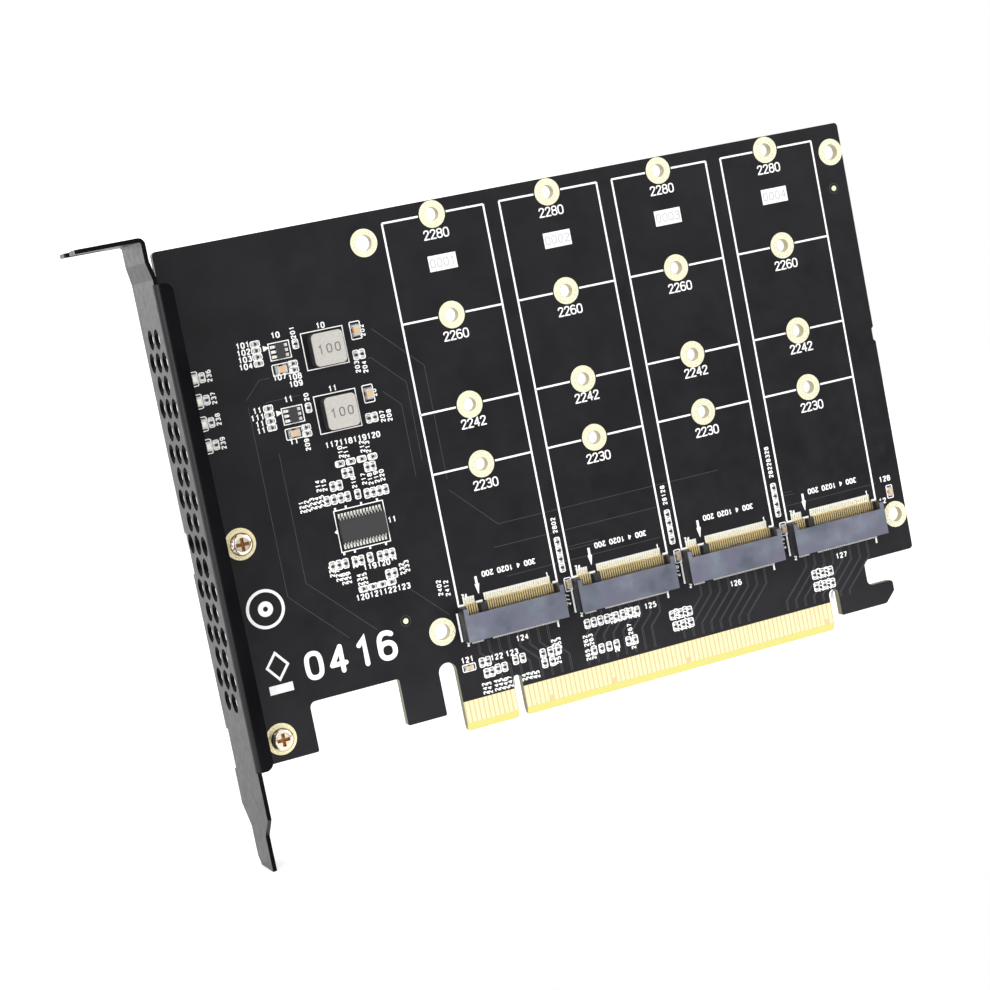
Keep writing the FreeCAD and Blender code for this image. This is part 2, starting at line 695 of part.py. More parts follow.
def front_pin():
    """Contact that lies on the slot's floor, drops in front of the mouth and ends in a toe on the board."""
    beam = SLOT_FLOOR + PIN_THICKNESS / 2
    drop = SOCKET_MOUTH + PIN_THICKNESS / 2
    low = PIN_THICKNESS / 2
    points = [(SOCKET_MOUTH - PIN_BEAM, beam), (drop, beam), (drop, low), (SOCKET_MOUTH + PIN_TOE, low)]
    face = strip_face(points, PIN_THICKNESS, 0, lambda p: vec(-PIN_WIDTH / 2, FRONT - p.y, p.x))
    return face.extrude(vec(PIN_WIDTH, 0, 0))


def rear_pin():
    """Contact that comes out of the housing's rear: only its toe on the board shows."""
    z0 = SOCKET_BOTTOM - REAR_TOE
    return box(-PIN_WIDTH / 2, PIN_WIDTH / 2, FRONT - PIN_THICKNESS, FRONT, z0, SOCKET_BOTTOM)


def socket_pins(x):
    """Both rows of contacts of one socket, staggered by half a pitch."""
    pins = []
    for position in range(PIN_POSITION_COUNT):
        if FIRST_KEYED_PIN <= position <= LAST_KEYED_PIN:
            continue
        for pin, shift in ((front_pin(), 0), (rear_pin(), PIN_PITCH / 2)):
            pin.translate(vec(pin_x(x, position) + shift, 0, 0))
            pins.append(pin)
    return group(pins)


def inductor_core(z):
    """Ferrite drum: square base and cap with rounded corners on a round post."""
    half = INDUCTOR_SIDE / 2
    corners = [
        (INDUCTOR_X + sx * half, z + sz * half, INDUCTOR_CORNER_RADIUS)
        for sx, sz in ((-1, 1), (1, 1), (1, -1), (-1, -1))
    ]
    top = FRONT - INDUCTOR_HEIGHT
    base = plate_xz(corners, FRONT - INDUCTOR_FLANGE, FRONT)
    cap = plate_xz(corners, top, top + INDUCTOR_FLANGE)
    post = rod(INDUCTOR_X, z, INDUCTOR_POST_RADIUS, top + INDUCTOR_FLANGE, FRONT - INDUCTOR_FLANGE)
    return only_solid(base.fuse([post, cap]))


def inductor_coil(z):
    """Winding that fills the drum between base and cap."""
    y0, y1 = FRONT - INDUCTOR_HEIGHT + INDUCTOR_FLANGE, FRONT - INDUCTOR_FLANGE
    return rod(INDUCTOR_X, z, COIL_RADIUS, y0, y1).cut(rod(INDUCTOR_X, z, INDUCTOR_POST_RADIUS, y0, y1))


def gull_lead(start, end, height, width):
    """Gull-wing lead that leaves a package toward +X at half its height and comes down to the board."""
    knee = (start + end - LEAD_FOOT) / 2
    low = LEAD_THICKNESS / 2
    points = [(start, height / 2), (knee, height / 2), (end - LEAD_FOOT, low), (end, low)]
    face = strip_face(points, LEAD_THICKNESS, 0, lambda p: vec(p.x, FRONT - p.y, -width / 2))
    return face.extrude(vec(0, 0, width))


def package_leads(x, z, first_turn, count, pitch, lead):
    """Two opposite rows of leads, the first turned from +X by first_turn degrees."""
    leads = []
    for turn in (first_turn, first_turn + 180):
        for i in range(count):
            copy = lead.copy()
            copy.translate(vec(0, 0, pitch * (i - (count - 1) / 2)))
            copy.rotate(vec(0, 0, 0), NORMAL, turn)
            copy.translate(vec(x, 0, z))
            leads.append(copy)
    return group(leads)


def package_body(x, z, width, length, height):
    """Moulded package body, standing a little off the board."""
    left, bottom = x - width / 2, z - length / 2
    return box(left, left + width, FRONT - height, FRONT - BODY_STANDOFF, bottom, bottom + length)


def chip_box(place, size, from_share, to_share):
    """Slice of a two-terminal chip part, from one share of its length to another."""
    x, z, upright = place
    length, width, height = size
    low, high = length * (from_share - 0.5), length * (to_share - 0.5)
    if upright:
        return box(x - width / 2, x + width / 2, FRONT - height, FRONT, z + low, z + high)
    return box(x + low, x + high, FRONT - height, FRONT, z - width / 2, z + width / 2)


def chip_row(origin, row):
    """Places of a row of chips, given from an origin."""
    x, z, step_x, step_z, count, upright = row
    return [(origin[0] + x + step_x * i, origin[1] + z + step_z * i, upright) for i in range(count)]


def chip_bodies(places, size):
    return [chip_box(place, size, TERMINAL_SHARE, 1 - TERMINAL_SHARE) for place in places]


def chip_terminals(places, size):
    ends = [chip_box(place, size, 0, TERMINAL_SHARE) for place in places]
    return ends + [chip_box(place, size, 1 - TERMINAL_SHARE, 1) for place in places]


save("circuit_board", circuit_board())
save("edge_contacts_front", edge_contacts(FRONT, -1, FRONT_SHORT_CONTACTS))
save("edge_contacts_back", edge_contacts(BACK, 1, BACK_SHORT_CONTACTS))
save("slot_bracket", slot_bracket())
save("corner_hole_rings", group([
    plated_ring(x, z, CORNER_HOLE_RADIUS, CORNER_RING_RADIUS) for x, z in corner_holes()
]))
save("screw_pads", group([
    plated_ring(SCREW_X, z, SCREW_RADIUS + SCREW_CLEARANCE, SCREW_PAD_RADIUS) for z in screw_places()
]))
for name, z in zip(("upper", "lower"), screw_places()):
    save(f"bracket_screw_{name}", bracket_screw(z))
for i, x in enumerate(drive_columns()):
    save(f"drive_hole_rings_{i + 1}", group([
        plated_ring(x, z, DRIVE_HOLE_RADIUS, DRIVE_RING_RADIUS) for z in drive_rows()
    ]))
    save(f"drive_socket_{i + 1}", socket_housing(x))
    save(f"socket_contacts_{i + 1}", socket_pins(x))
for name, z in (("upper", INDUCTOR_UPPER_Z), ("lower", INDUCTOR_LOWER_Z)):
    save(f"inductor_core_{name}", inductor_core(z))
    save(f"inductor_coil_{name}", inductor_coil(z))
for name, z in zip(("upper", "lower"), regulator_places()):
    body = package_body(REGULATOR_X, z, REGULATOR_WIDTH, REGULATOR_LENGTH, REGULATOR_HEIGHT)
    save(f"regulator_{name}", body)
    lead = gull_lead(REGULATOR_WIDTH / 2, REGULATOR_SPAN / 2, REGULATOR_HEIGHT, REGULATOR_LEAD_WIDTH)
    leads = package_leads(REGULATOR_X, z, 0, REGULATOR_LEAD_COUNT, REGULATOR_PITCH, lead)
    save(f"regulator_leads_{name}", leads)
save("clock_buffer", package_body(CLOCK_X, CLOCK_Z, CLOCK_LENGTH, CLOCK_WIDTH, CLOCK_HEIGHT))
lead = gull_lead(CLOCK_WIDTH / 2, CLOCK_SPAN / 2, CLOCK_HEIGHT, CLOCK_LEAD_WIDTH)
save("clock_buffer_leads", package_leads(CLOCK_X, CLOCK_Z, 90, CLOCK_LEAD_COUNT, CLOCK_PITCH, lead))

small_chips = [(LED_RESISTOR_X, LED_TOP_Z - LED_PITCH * i, True) for i in range(LED_COUNT)]
for z in regulator_places():
    for row in REGULATOR_CHIPS:
        small_chips += chip_row((REGULATOR_X, z), row)
for row in CLOCK_CHIPS:
    small_chips += chip_row((CLOCK_X, CLOCK_Z), row)
for row in LOWER_CHIPS:
    small_chips += chip_row((0, 0), row)
for x in between_columns():
    small_chips += chip_row((x, STRIP_CHIPS_TOP), (0, 0, 0, -STRIP_CHIP_PITCH, STRIP_CHIP_COUNT, True))
lights = [(LED_X, LED_TOP_Z - LED_PITCH * i, True) for i in range(LED_COUNT)]
large_capacitors = []
for z in regulator_places():
    large_capacitors += chip_row((REGULATOR_X, z), (*REGULATOR_INPUT_CAPACITOR, 0, 0, 1, False))
    large_capacitors += chip_row((REGULATOR_X, z), (*REGULATOR_OUTPUT_CAPACITOR, 0, 0, 1, True))
small_capacitors = [(*LOWER_CAPACITOR, False)]
last_hole = (corner_holes_right(), CORNER_HOLES_BOTTOM)
small_capacitors += chip_row(last_hole, (*LAST_CAPACITOR_FROM_HOLE, 0, 0, 1, True))
for x in drive_columns()[1:]:
    beside = x - SOCKET_WIDTH / 2 - SOCKET_CAPACITOR_CLEARANCE - CHIP_0603[1] / 2
    small_capacitors.append((beside, SOCKET_CAPACITOR_Z, True))
save("small_chips", group(chip_bodies(small_chips, CHIP_0402)))
save("status_lights", group(chip_bodies(lights, CHIP_0603)))
save("ceramic_capacitors", group(
    chip_bodies(large_capacitors, CHIP_0805) + chip_bodies(small_capacitors, CHIP_0603)
))
save("chip_terminals", group(
    chip_terminals(small_chips, CHIP_0402) + chip_terminals(lights + small_capacitors, CHIP_0603)
    + chip_terminals(large_capacitors, CHIP_0805)
))
aside, above = LAST_SIGHT_FROM_CORNER
last_sight = (corner_holes_right() + aside, board_top() + above)
save("sighting_marks", group([
    rod(x, z, SIGHT_RADIUS, FRONT - PLATING, FRONT) for x, z in (FIRST_SIGHT, last_sight)
]))
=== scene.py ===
import math

import bpy
import numpy as np
from mathutils import Euler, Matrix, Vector


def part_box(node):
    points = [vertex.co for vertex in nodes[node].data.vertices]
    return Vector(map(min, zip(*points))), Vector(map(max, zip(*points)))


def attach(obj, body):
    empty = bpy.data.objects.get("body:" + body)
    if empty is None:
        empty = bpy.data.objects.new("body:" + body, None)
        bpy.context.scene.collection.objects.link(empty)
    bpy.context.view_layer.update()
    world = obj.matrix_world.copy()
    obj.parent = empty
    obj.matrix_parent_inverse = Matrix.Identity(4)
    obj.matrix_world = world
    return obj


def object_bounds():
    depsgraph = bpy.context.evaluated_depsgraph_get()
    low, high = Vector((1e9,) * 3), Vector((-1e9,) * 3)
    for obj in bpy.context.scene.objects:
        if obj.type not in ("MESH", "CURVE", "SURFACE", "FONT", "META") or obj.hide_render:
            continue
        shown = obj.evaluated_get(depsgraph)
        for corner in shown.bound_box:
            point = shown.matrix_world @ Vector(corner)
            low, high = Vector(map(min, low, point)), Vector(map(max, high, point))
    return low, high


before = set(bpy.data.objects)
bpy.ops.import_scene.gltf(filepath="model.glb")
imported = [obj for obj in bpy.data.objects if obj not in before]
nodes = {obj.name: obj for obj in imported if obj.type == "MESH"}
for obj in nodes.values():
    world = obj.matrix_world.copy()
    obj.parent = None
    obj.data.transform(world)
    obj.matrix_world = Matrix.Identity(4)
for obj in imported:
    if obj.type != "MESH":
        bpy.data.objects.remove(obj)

cad_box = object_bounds()

# Camera
# The card is seen from the bracket's side and a little from above, with the view rolled so that
# the edge contacts climb to the right. The lens is a short telephoto, so the card's lines stay calm.
mm = 0.001
camera_place = (-158.16, -432.82, 94.31)
camera_turn = (83.734, 11.159, -21.667)
camera_data = bpy.data.cameras.new("camera")
camera_data.lens = 85.0
camera_data.sensor_width = 36.0
camera_data.clip_end = 20.0
camera = bpy.data.objects.new("camera", camera_data)
camera.location = Vector(camera_place) * mm
camera.rotation_euler = Euler([math.radians(angle) for angle in camera_turn], "XYZ")
bpy.context.collection.objects.link(camera)
bpy.context.scene.camera = camera

# Floor and light
# White translucent paper, lit a little from below, lies flat under the card and ends close in front
# of it. A soft lamp stands on each side in front. The surround looks plain white, and what the gold,
# the mask and the black coating mirror of it is bright behind, white above, dim below and to the right.
floor_z = cad_box[0][2]
floor_near, floor_far, floor_reach = -0.12, 0.6, 2.0
paper_colour = (0.96, 0.955, 0.965, 1)
paper_glow = 0.3
lamp_aim, lamp_size = (0.01, 0.0, 0.05), 1.0
left_lamp_place, left_lamp_watts = (-0.9, -1.0, 0.30), 15.5
right_lamp_place, right_lamp_watts = (1.1, -0.7, 0.60), 11.0
# What is mirrored of the surround, by its direction: from and to along the axis, value there
above = (-0.18, 0.04, 0.38, 0.95)
rightward = (0.33, 0.62, 1.0, 0.25)
behind = (0.6, 0.95, 1.0, 1.8)


def solid_from(name, points, faces):
    """Mesh object from arrays of points in metres and of faces."""
    mesh = bpy.data.meshes.new(name)
    mesh.from_pydata(np.asarray(points).tolist(), [], [face.tolist() for face in faces])
    mesh.update()
    thing = bpy.data.objects.new(name, mesh)
    bpy.context.collection.objects.link(thing)
    return thing


across, depth = np.array([-floor_reach, floor_reach]), np.array([floor_near, floor_far])
corners = np.stack(np.broadcast_arrays(across, depth[:, None], floor_z), axis=-1)
sheet = solid_from("paper_floor", corners.reshape(-1, 3), np.array([[0, 1, 3, 2]]))
paper = bpy.data.materials.new("white_paper")
paper.use_nodes = True
for socket, value in (
    ("Base Color", paper_colour), ("Roughness", 0.9),
    ("Emission Color", paper_colour), ("Emission Strength", paper_glow),
):
    paper.node_tree.nodes["Principled BSDF"].inputs[socket].default_value = value
sheet.data.materials.append(paper)


def soft_lamp(name, place, aim, size, power):
    """Square area lamp at place, turned toward aim, both in metres."""
    data = bpy.data.lights.new(name, "AREA")
    data.size = size
    data.energy = power
    lamp = bpy.data.objects.new(name, data)
    lamp.location = place
    lamp.rotation_euler = (Vector(aim) - Vector(place)).to_track_quat("-Z", "Y").to_euler()
    bpy.context.collection.objects.link(lamp)


soft_lamp("left_lamp", left_lamp_place, lamp_aim, lamp_size, left_lamp_watts)
soft_lamp("right_lamp", right_lamp_place, lamp_aim, lamp_size, right_lamp_watts)


def node(tree, kind, inputs=(), **options):
    """New node with its options set, and each named input given a value or another node's socket."""
    made = tree.nodes.new(kind)
    for name, value in options.items():
        setattr(made, name, value)
    for name, value in dict(inputs).items():
        if isinstance(value, bpy.types.NodeSocket):
            tree.links.new(value, made.inputs[name])
        else:
            made.inputs[name].default_value = value
    return made


def spread(tree, value, low, high, start=0.0, end=1.0):
    """Value from start..end laid over low..high and kept inside it."""
    return node(tree, "ShaderNodeMapRange", {
        "Value": value, "From Min": low, "From Max": high, "To Min": start, "To Max": end,
    }).outputs["Result"]


def arithmetic(tree, operation, first, second):
    """One sum, product or comparison of two numbers or sockets."""
    made = node(tree, "ShaderNodeMath", operation=operation)
    for socket, value in zip(made.inputs, (first, second)):
        if isinstance(value, bpy.types.NodeSocket):
            tree.links.new(value, socket)
        else:
            socket.default_value = value
    return made.outputs[0]


def split(tree, vector):
    """X, Y and Z of a vector socket."""
    return node(tree, "ShaderNodeSeparateXYZ", {"Vector": vector}).outputs


def product(tree, first, *others):
    """Product of numbers or sockets; of shares, it is 1 only where all of them are."""
    for other in others:
        first = arithmetic(tree, "MULTIPLY", first, other)
    return first


world = bpy.data.worlds.new("white_surround")
world.use_nodes = True
tree = world.node_tree
x, y, z = split(tree, node(tree, "ShaderNodeTexCoord").outputs["Generated"])
mirrored = product(tree, spread(tree, z, *above), spread(tree, x, *rightward), spread(tree, y, *behind))
seen = node(tree, "ShaderNodeLightPath").outputs["Is Camera Ray"]
tree.links.new(arithmetic(tree, "MAXIMUM", mirrored, seen), tree.nodes["Background"].inputs["Color"])
bpy.context.scene.world = world
bpy.context.scene.view_settings.view_transform = "Standard"

# Circuit board
# A glass fibre and epoxy laminate, printed on both faces with a satin black solder mask. Its routed
# edges show the bare olive laminate, and so does the window in the mask round the edge contacts.
board_low, board_high = (np.array(corner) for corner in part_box("circuit_board"))
face_y, back_y = board_low[1], board_high[1]
mask_deep = (0.0035, 0.0033, 0.0048, 1)
mask_lit = (0.0070, 0.0066, 0.0092, 1)
laminate, dark_weave = (0.16, 0.15, 0.07, 1), (0.05, 0.05, 0.02, 1)
bare_tongue = (0.58, 0.45, 0.24, 1)
bevel_copper = (0.58, 0.54, 0.16, 1)
bevel_slope = -0.15
mask_window_top, mask_window_margin = 5.95 * mm, 0.3 * mm
tongue_left, tongue_right = (corner[0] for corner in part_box("edge_contacts_front"))


def new_finish(name):
    """Material with its node tree, its shader, and the sockets of the object's own place and normal."""
    material = bpy.data.materials.new(name)
    material.use_nodes = True
    tree = material.node_tree
    own = node(tree, "ShaderNodeTexCoord").outputs
    return material, tree, tree.nodes["Principled BSDF"], own["Object"], own["Normal"]


def grain(tree, place, size, detail=3.0):
    """Noise between 0 and 1 whose patches are about size mm across."""
    settings = {"Vector": place, "Scale": 1 / (size * mm), "Detail": detail}
    return node(tree, "ShaderNodeTexNoise", settings).outputs["Fac"]


def blend(tree, share, first, second):
    """Colour that runs from first to second as share goes from 0 to 1."""
    mix = node(tree, "ShaderNodeMix", data_type="RGBA")
    for socket, value in ((mix.inputs[0], share), (mix.inputs[6], first), (mix.inputs[7], second)):
        if isinstance(value, bpy.types.NodeSocket):
            tree.links.new(value, socket)
        else:
            socket.default_value = value
    return mix.outputs[2]


def raise_by(tree, shader, height, depth):
    """Bump of depth mm where height is 1."""
    bump = node(tree, "ShaderNodeBump", {"Height": height, "Distance": depth * mm, "Strength": 1.0})
    tree.links.new(bump.outputs["Normal"], shader.inputs["Normal"])


def tint(tree, shader, colour):
    """Base colour from a colour socket."""
    tree.links.new(colour, shader.inputs["Base Color"])


def polish(tree, shader, pattern, smooth, rough):
    """Roughness that drifts from smooth to rough with a pattern."""
    tree.links.new(spread(tree, pattern, 0.3, 0.7, smooth, rough), shader.inputs["Roughness"])


def wear(node_names, material):
    """Gives CAD nodes a finish."""
    for name in node_names:
        nodes[name].data.materials.clear()
        nodes[name].data.materials.append(material)


solder_mask, tree, shader, place, normal = new_finish("solder_mask_on_laminate")
mottle = grain(tree, place, 9.0)
mask = blend(tree, spread(tree, mottle, 0.35, 0.65), mask_deep, mask_lit)
weave = grain(tree, place, 0.5)
edge = blend(tree, spread(tree, weave, 0.3, 0.7, 0.0, 0.6), laminate, dark_weave)
x, _, z = split(tree, place)
facing = arithmetic(tree, "ABSOLUTE", split(tree, normal)[1], 0)
on_face = arithmetic(tree, "GREATER_THAN", facing, 0.5)
on_bevel = arithmetic(tree, "LESS_THAN", split(tree, normal)[2], bevel_slope)
low_down = arithmetic(tree, "LESS_THAN", z, mask_window_top)
right_of = arithmetic(tree, "GREATER_THAN", x, tongue_left - mask_window_margin)
left_of = arithmetic(tree, "LESS_THAN", x, tongue_right + mask_window_margin)
in_window = product(tree, on_face, low_down, right_of, left_of)
colour = blend(tree, on_face, edge, mask)
colour = blend(tree, in_window, colour, bare_tongue)
colour = blend(tree, product(tree, in_window, on_bevel), colour, bevel_copper)
tint(tree, shader, colour)
polish(tree, shader, grain(tree, place, 2.5), 0.30, 0.40)
shader.inputs["Specular IOR Level"].default_value = 0.3
raise_by(tree, shader, grain(tree, place, 0.35), 0.004)
wear(["circuit_board"], solder_mask)

# Copper tracks under the mask
# Etched copper, 0.035 mm thick, that the mask is poured over: it shows as fine ridges, a shade
# lighter than the ground. Single long runs cross the drive area, pairs fall from the sockets.
track_width = 0.13
track_rise = 0.02
track_colour, track_shade = (0.045, 0.044, 0.05, 1), (0.022, 0.0215, 0.025, 1)
pair_count, pair_pitch, pair_half_gap, first_pair_shift = 8, 2.15, 0.16, -8.0
pair_start_drop, first_bend_z, bend_step, pair_end_z = 0.9, 14.6, 0.16, 6.6
pair_slants = (3.5, -2.5, -5.5, -6.0)
socket_boxes = [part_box(f"drive_socket_{i}") for i in (1, 2, 3, 4)]
drive_columns = [(low[0] + high[0]) / 2 / mm for low, high in socket_boxes]
socket_bottom, socket_mouth = (corner[2] / mm for corner in socket_boxes[0])
long_tracks = [  # corners (x, z) in mm
    [(-6.3, 47.7), (2.4, 38.9), (52.0, 38.9)],
    [(0.6, 34.5), (36.8, 34.5)],
    [(2.0, 28.3), (36.4, 28.3)],
    [(16.2, 31.0), (22.9, 31.0)],
    [(16.1, 30.4), (22.4, 30.4)],
    [(65.7, 30.9), (67.9, 30.9)],
    [(65.7, 30.3), (68.3, 30.3)],
    [(65.7, 28.1), (87.8, 28.1)],
    [(-15.4, 81.8), (-6.3, 72.8), (-6.3, 50.0)],
    [(-17.4, 76.4), (-16.7, 76.4), (-10.6, 70.3), (-10.6, 55.0)],
    [(-15.7, 69.5), (-12.5, 66.3), (-12.5, 52.0)],
    [(-42.9, 73.3), (-39.6, 76.6), (-37.5, 76.6)],
    [(-39.2, 71.9), (-38.9, 72.2), (-32.3, 72.2)],
    [(-38.7, 62.0), (-38.7, 36.6), (-26.5, 24.3)],
    [(-42.8, 72.0), (-42.8, 34.8), (-32.4, 24.2)],
    [(-19.0, 31.3), (-11.4, 23.7)],
]


def unit(vectors):
    """Vectors brought to length 1."""
    return vectors / np.linalg.norm(vectors, axis=1, keepdims=True)


def bar_sides(line, width, square=False):
    """Both sides of a flat bar along a line of (x, z) points.

    At each point the sides stand half the width away along the normal of the mean direction of the two
    runs that meet there, times one over the cosine of half the turn. An open bar that isn't square gets
    round ends: sections past the end by sin(a) of half the width, and cos(a) of it wide.
    """
    line = np.asarray(line, float)
    half = np.broadcast_to(np.asarray(width, float), len(line)) / 2
    closed = len(line) > 2 and np.allclose(line[0], line[-1])
    if closed:
        line, half = line[:-1], half[:-1]
        ahead = unit(np.roll(line, -1, axis=0) - line)
        behind = np.roll(ahead, 1, axis=0)
    else:
        run = unit(np.diff(line, axis=0))
        ahead, behind = np.concatenate([run, run[-1:]]), np.concatenate([run[:1], run])
    along = unit(ahead + behind)
    reach = (half / np.clip((along * ahead).sum(axis=1), 0.5, 1))[:, None]
    if not closed and not square:
        lean = np.radians([75.0, 40.0])[:, None]
        start = line[0] - along[0] * half[0] * np.sin(lean)
        end = line[-1] + along[-1] * half[-1] * np.sin(lean[::-1])
        line = np.concatenate([start, line, end])
        reach = np.concatenate([half[0] * np.cos(lean), reach, half[-1] * np.cos(lean[::-1])])
        along = np.concatenate([along[:1], along[:1], along, along[-1:], along[-1:]])
    aside = np.stack([-along[:, 1], along[:, 0]], axis=1) * reach
    return line + aside, line - aside, closed


def flat_bars(name, bars, rise, base_y=face_y):
    """Closed flat bars in front of a base plane.

    Each comes from (line, width), or (line, width, True) for square ends. A bar is its two sides on the
    base and at the rise, in mm in front of it, joined section by section. Each stands a hair higher than
    the one before, in turns of seven, so no two tops coincide.
    """
    points, faces, count = [], [], 0
    hair, turns = 0.0006, 7
    for i, bar in enumerate(bars):
        left, right, closed = bar_sides(*bar)
        low, high = base_y, base_y - (rise + hair * (i % turns)) * mm
        ring = np.empty((len(left), 4, 3))
        ring[:, 0, 0::2], ring[:, 1, 0::2], ring[:, 2, 0::2], ring[:, 3, 0::2] = left, left, right, right
        ring[:, :, 0::2] *= mm
        ring[:, :, 1] = (low, high, high, low)
        grid = np.arange(ring[..., 0].size).reshape(-1, 4) + count
        after = np.roll(grid, -1, axis=0) if closed else grid[1:]
        here = grid if closed else grid[:-1]
        quads = np.stack([here, after, np.roll(after, -1, axis=1), np.roll(here, -1, axis=1)], axis=-1)
        faces += list(quads.reshape(-1, 4))
        if not closed:
            faces += [grid[0], grid[-1, ::-1]]
        points.append(ring.reshape(-1, 3))
        count += grid.size
    return solid_from(name, np.concatenate(points), faces)


def belongs(piece, material):
    """A new piece rides on the card and wears a finish."""
    piece.data.materials.append(material)
    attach(piece, "root")


def track_pairs(column, slant):
    """Tracks that fall in pairs from a socket's rear toes and slant at 45 degrees toward the contacts."""
    pairs = []
    for i in range(pair_count):
        for side in (-pair_half_gap, pair_half_gap):
            x = column + first_pair_shift + pair_pitch * i + side
            start, bend, end = socket_bottom - pair_start_drop, first_bend_z - bend_step * i, x + slant
            pairs.append([(x, start), (x, bend), (end, bend - abs(slant)), (end, pair_end_z)])
    return pairs


def ring_line(x, z, radius, count=48):
    """Closed circle of points."""
    angle = np.arange(count + 1) * 2 * math.pi / count
    return np.stack([x + radius * np.cos(angle), z + radius * np.sin(angle)], axis=1)


tracks = long_tracks + [
    line for column, slant in zip(drive_columns, pair_slants) for line in track_pairs(column, slant)
]
mark_radius, window_radius = 0.55, 1.05
first_mark, last_mark = (np.array(corner)[0::2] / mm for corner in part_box("sighting_marks"))
mark_middles = (first_mark + mark_radius, last_mark - mark_radius)
tracks += [ring_line(*middle, window_radius) for middle in mark_middles]
copper_tracks = flat_bars("copper_tracks", [(line, track_width) for line in tracks], track_rise)
masked_copper, tree, shader, place, normal = new_finish("mask_over_copper")
tint(tree, shader, blend(tree, grain(tree, place, 3.0), track_colour, track_shade))
shader.inputs["Roughness"].default_value = 0.35
raise_by(tree, shader, grain(tree, place, 0.35), 0.003)
belongs(copper_tracks, masked_copper)

# Plated holes and their rings
# Copper rings and hole walls under a thin nickel and gold plating. The rings on the component face
# are the card's own parts; the wall of each hole and the ring on the back are one turned sleeve.
# The sleeve's gold is painted far darker and browner than the rings', as painted shade inside the holes.
sleeve_wall = 0.04
plating = 0.05
drive_rows = [101.35, 81.35, 63.35, 51.35]
drive_hole_radius, drive_ring_radius = 1.35, 2.7
corner_hole_radius, corner_ring_radius = 1.6, 2.75
ring_low, ring_high = (np.array(corner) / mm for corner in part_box("corner_hole_rings"))
corner_places = [
    (x, z)
    for x in (ring_low[0] + corner_ring_radius, ring_high[0] - corner_ring_radius)
    for z in (ring_low[2] + corner_ring_radius, ring_high[2] - corner_ring_radius)
]


def turned(name, profile, places, steps=40):
    """Closed profile of (radius, y) turned round Y at each (x, z) place.

    At the angle a, x is the place's x plus radius times cos(a), and z its z plus radius times sin(a).
    """
    profile, places = np.asarray(profile, float), np.asarray(places, float)
    angle = np.arange(steps) * 2 * math.pi / steps
    radius, y = profile[:, 0], profile[:, 1]
    shape = (len(places), steps, len(profile))
    x = places[:, None, None, 0] + radius * np.cos(angle)[:, None]
    z = places[:, None, None, 1] + radius * np.sin(angle)[:, None]
    points = np.stack([x, np.broadcast_to(y, shape), z], axis=-1) * mm
    grid = np.arange(points[..., 0].size).reshape(shape)
    round_on, along_on = np.roll(grid, -1, axis=1), np.roll(grid, -1, axis=2)
    faces = np.stack([grid, along_on, np.roll(round_on, -1, axis=2), round_on], axis=-1)
    return solid_from(name, points.reshape(-1, 3), faces.reshape(-1, 4))


def hole_sleeves(name, hole_radius, ring_radius, places):
    """Hole wall from face to face with a ring on the back: an L profile turned round the hole."""
    front, back = face_y / mm, back_y / mm
    inner = hole_radius - sleeve_wall
    profile = [
        (inner, front - plating), (inner, back + plating), (ring_radius, back + plating),
        (ring_radius, back), (hole_radius, back), (hole_radius, front - plating),
    ]
    return turned(name, profile, places)


def plated(name, pale, deep, roughness, metal=1.0):
    """Gold plating whose colour and polish drift slowly, with a faint grain."""
    material, tree, shader, place, normal = new_finish(name)
    tint(tree, shader, blend(tree, grain(tree, place, 1.2), pale, deep))
    polish(tree, shader, grain(tree, place, 0.25), *roughness)
    raise_by(tree, shader, grain(tree, place, 0.3), 0.0008)
    shader.inputs["Metallic"].default_value = metal
    return material


pale_gold = plated("pale_gold_plating", (0.95, 0.92, 0.68, 1), (0.93, 0.88, 0.60, 1), (0.24, 0.34), 0.45)
# Painted shade: the sleeves' plating is much darker than the rings'.
shaded_hole_wall = plated("hole_wall_plating", (0.50, 0.45, 0.30, 1), (0.30, 0.26, 0.16, 1), (0.35, 0.5))
drive_places = [(column, row) for column in drive_columns for row in drive_rows]
drive_sleeves = hole_sleeves("drive_hole_sleeves", drive_hole_radius, drive_ring_radius, drive_places)
corner_sleeves = hole_sleeves("corner_hole_sleeves", corner_hole_radius, corner_ring_radius, corner_places)
for sleeves in (drive_sleeves, corner_sleeves):
    belongs(sleeves, shaded_hole_wall)
wear([f"drive_hole_rings_{i}" for i in (1, 2, 3, 4)] + ["corner_hole_rings", "sighting_marks"], pale_gold)

# Edge contacts
# Copper fingers with hard gold on nickel, brushed lengthways by every insertion. They are pale yellow.
finger_pale, finger_deep = (0.95, 0.90, 0.58, 1), (0.88, 0.81, 0.45, 1)
brush_stretch = 0.06
finger_gold, tree, shader, place, normal = new_finish("hard_gold_fingers")
brushed = node(tree, "ShaderNodeMapping", {"Vector": place, "Scale": (1.0, 1.0, brush_stretch)})
strokes = grain(tree, brushed.outputs["Vector"], 0.12)
tint(tree, shader, blend(tree, strokes, finger_pale, finger_deep))
polish(tree, shader, strokes, 0.24, 0.36)
raise_by(tree, shader, strokes, 0.002)
shader.inputs["Metallic"].default_value = 0.75
wear(["edge_contacts_front", "edge_contacts_back"], finger_gold)
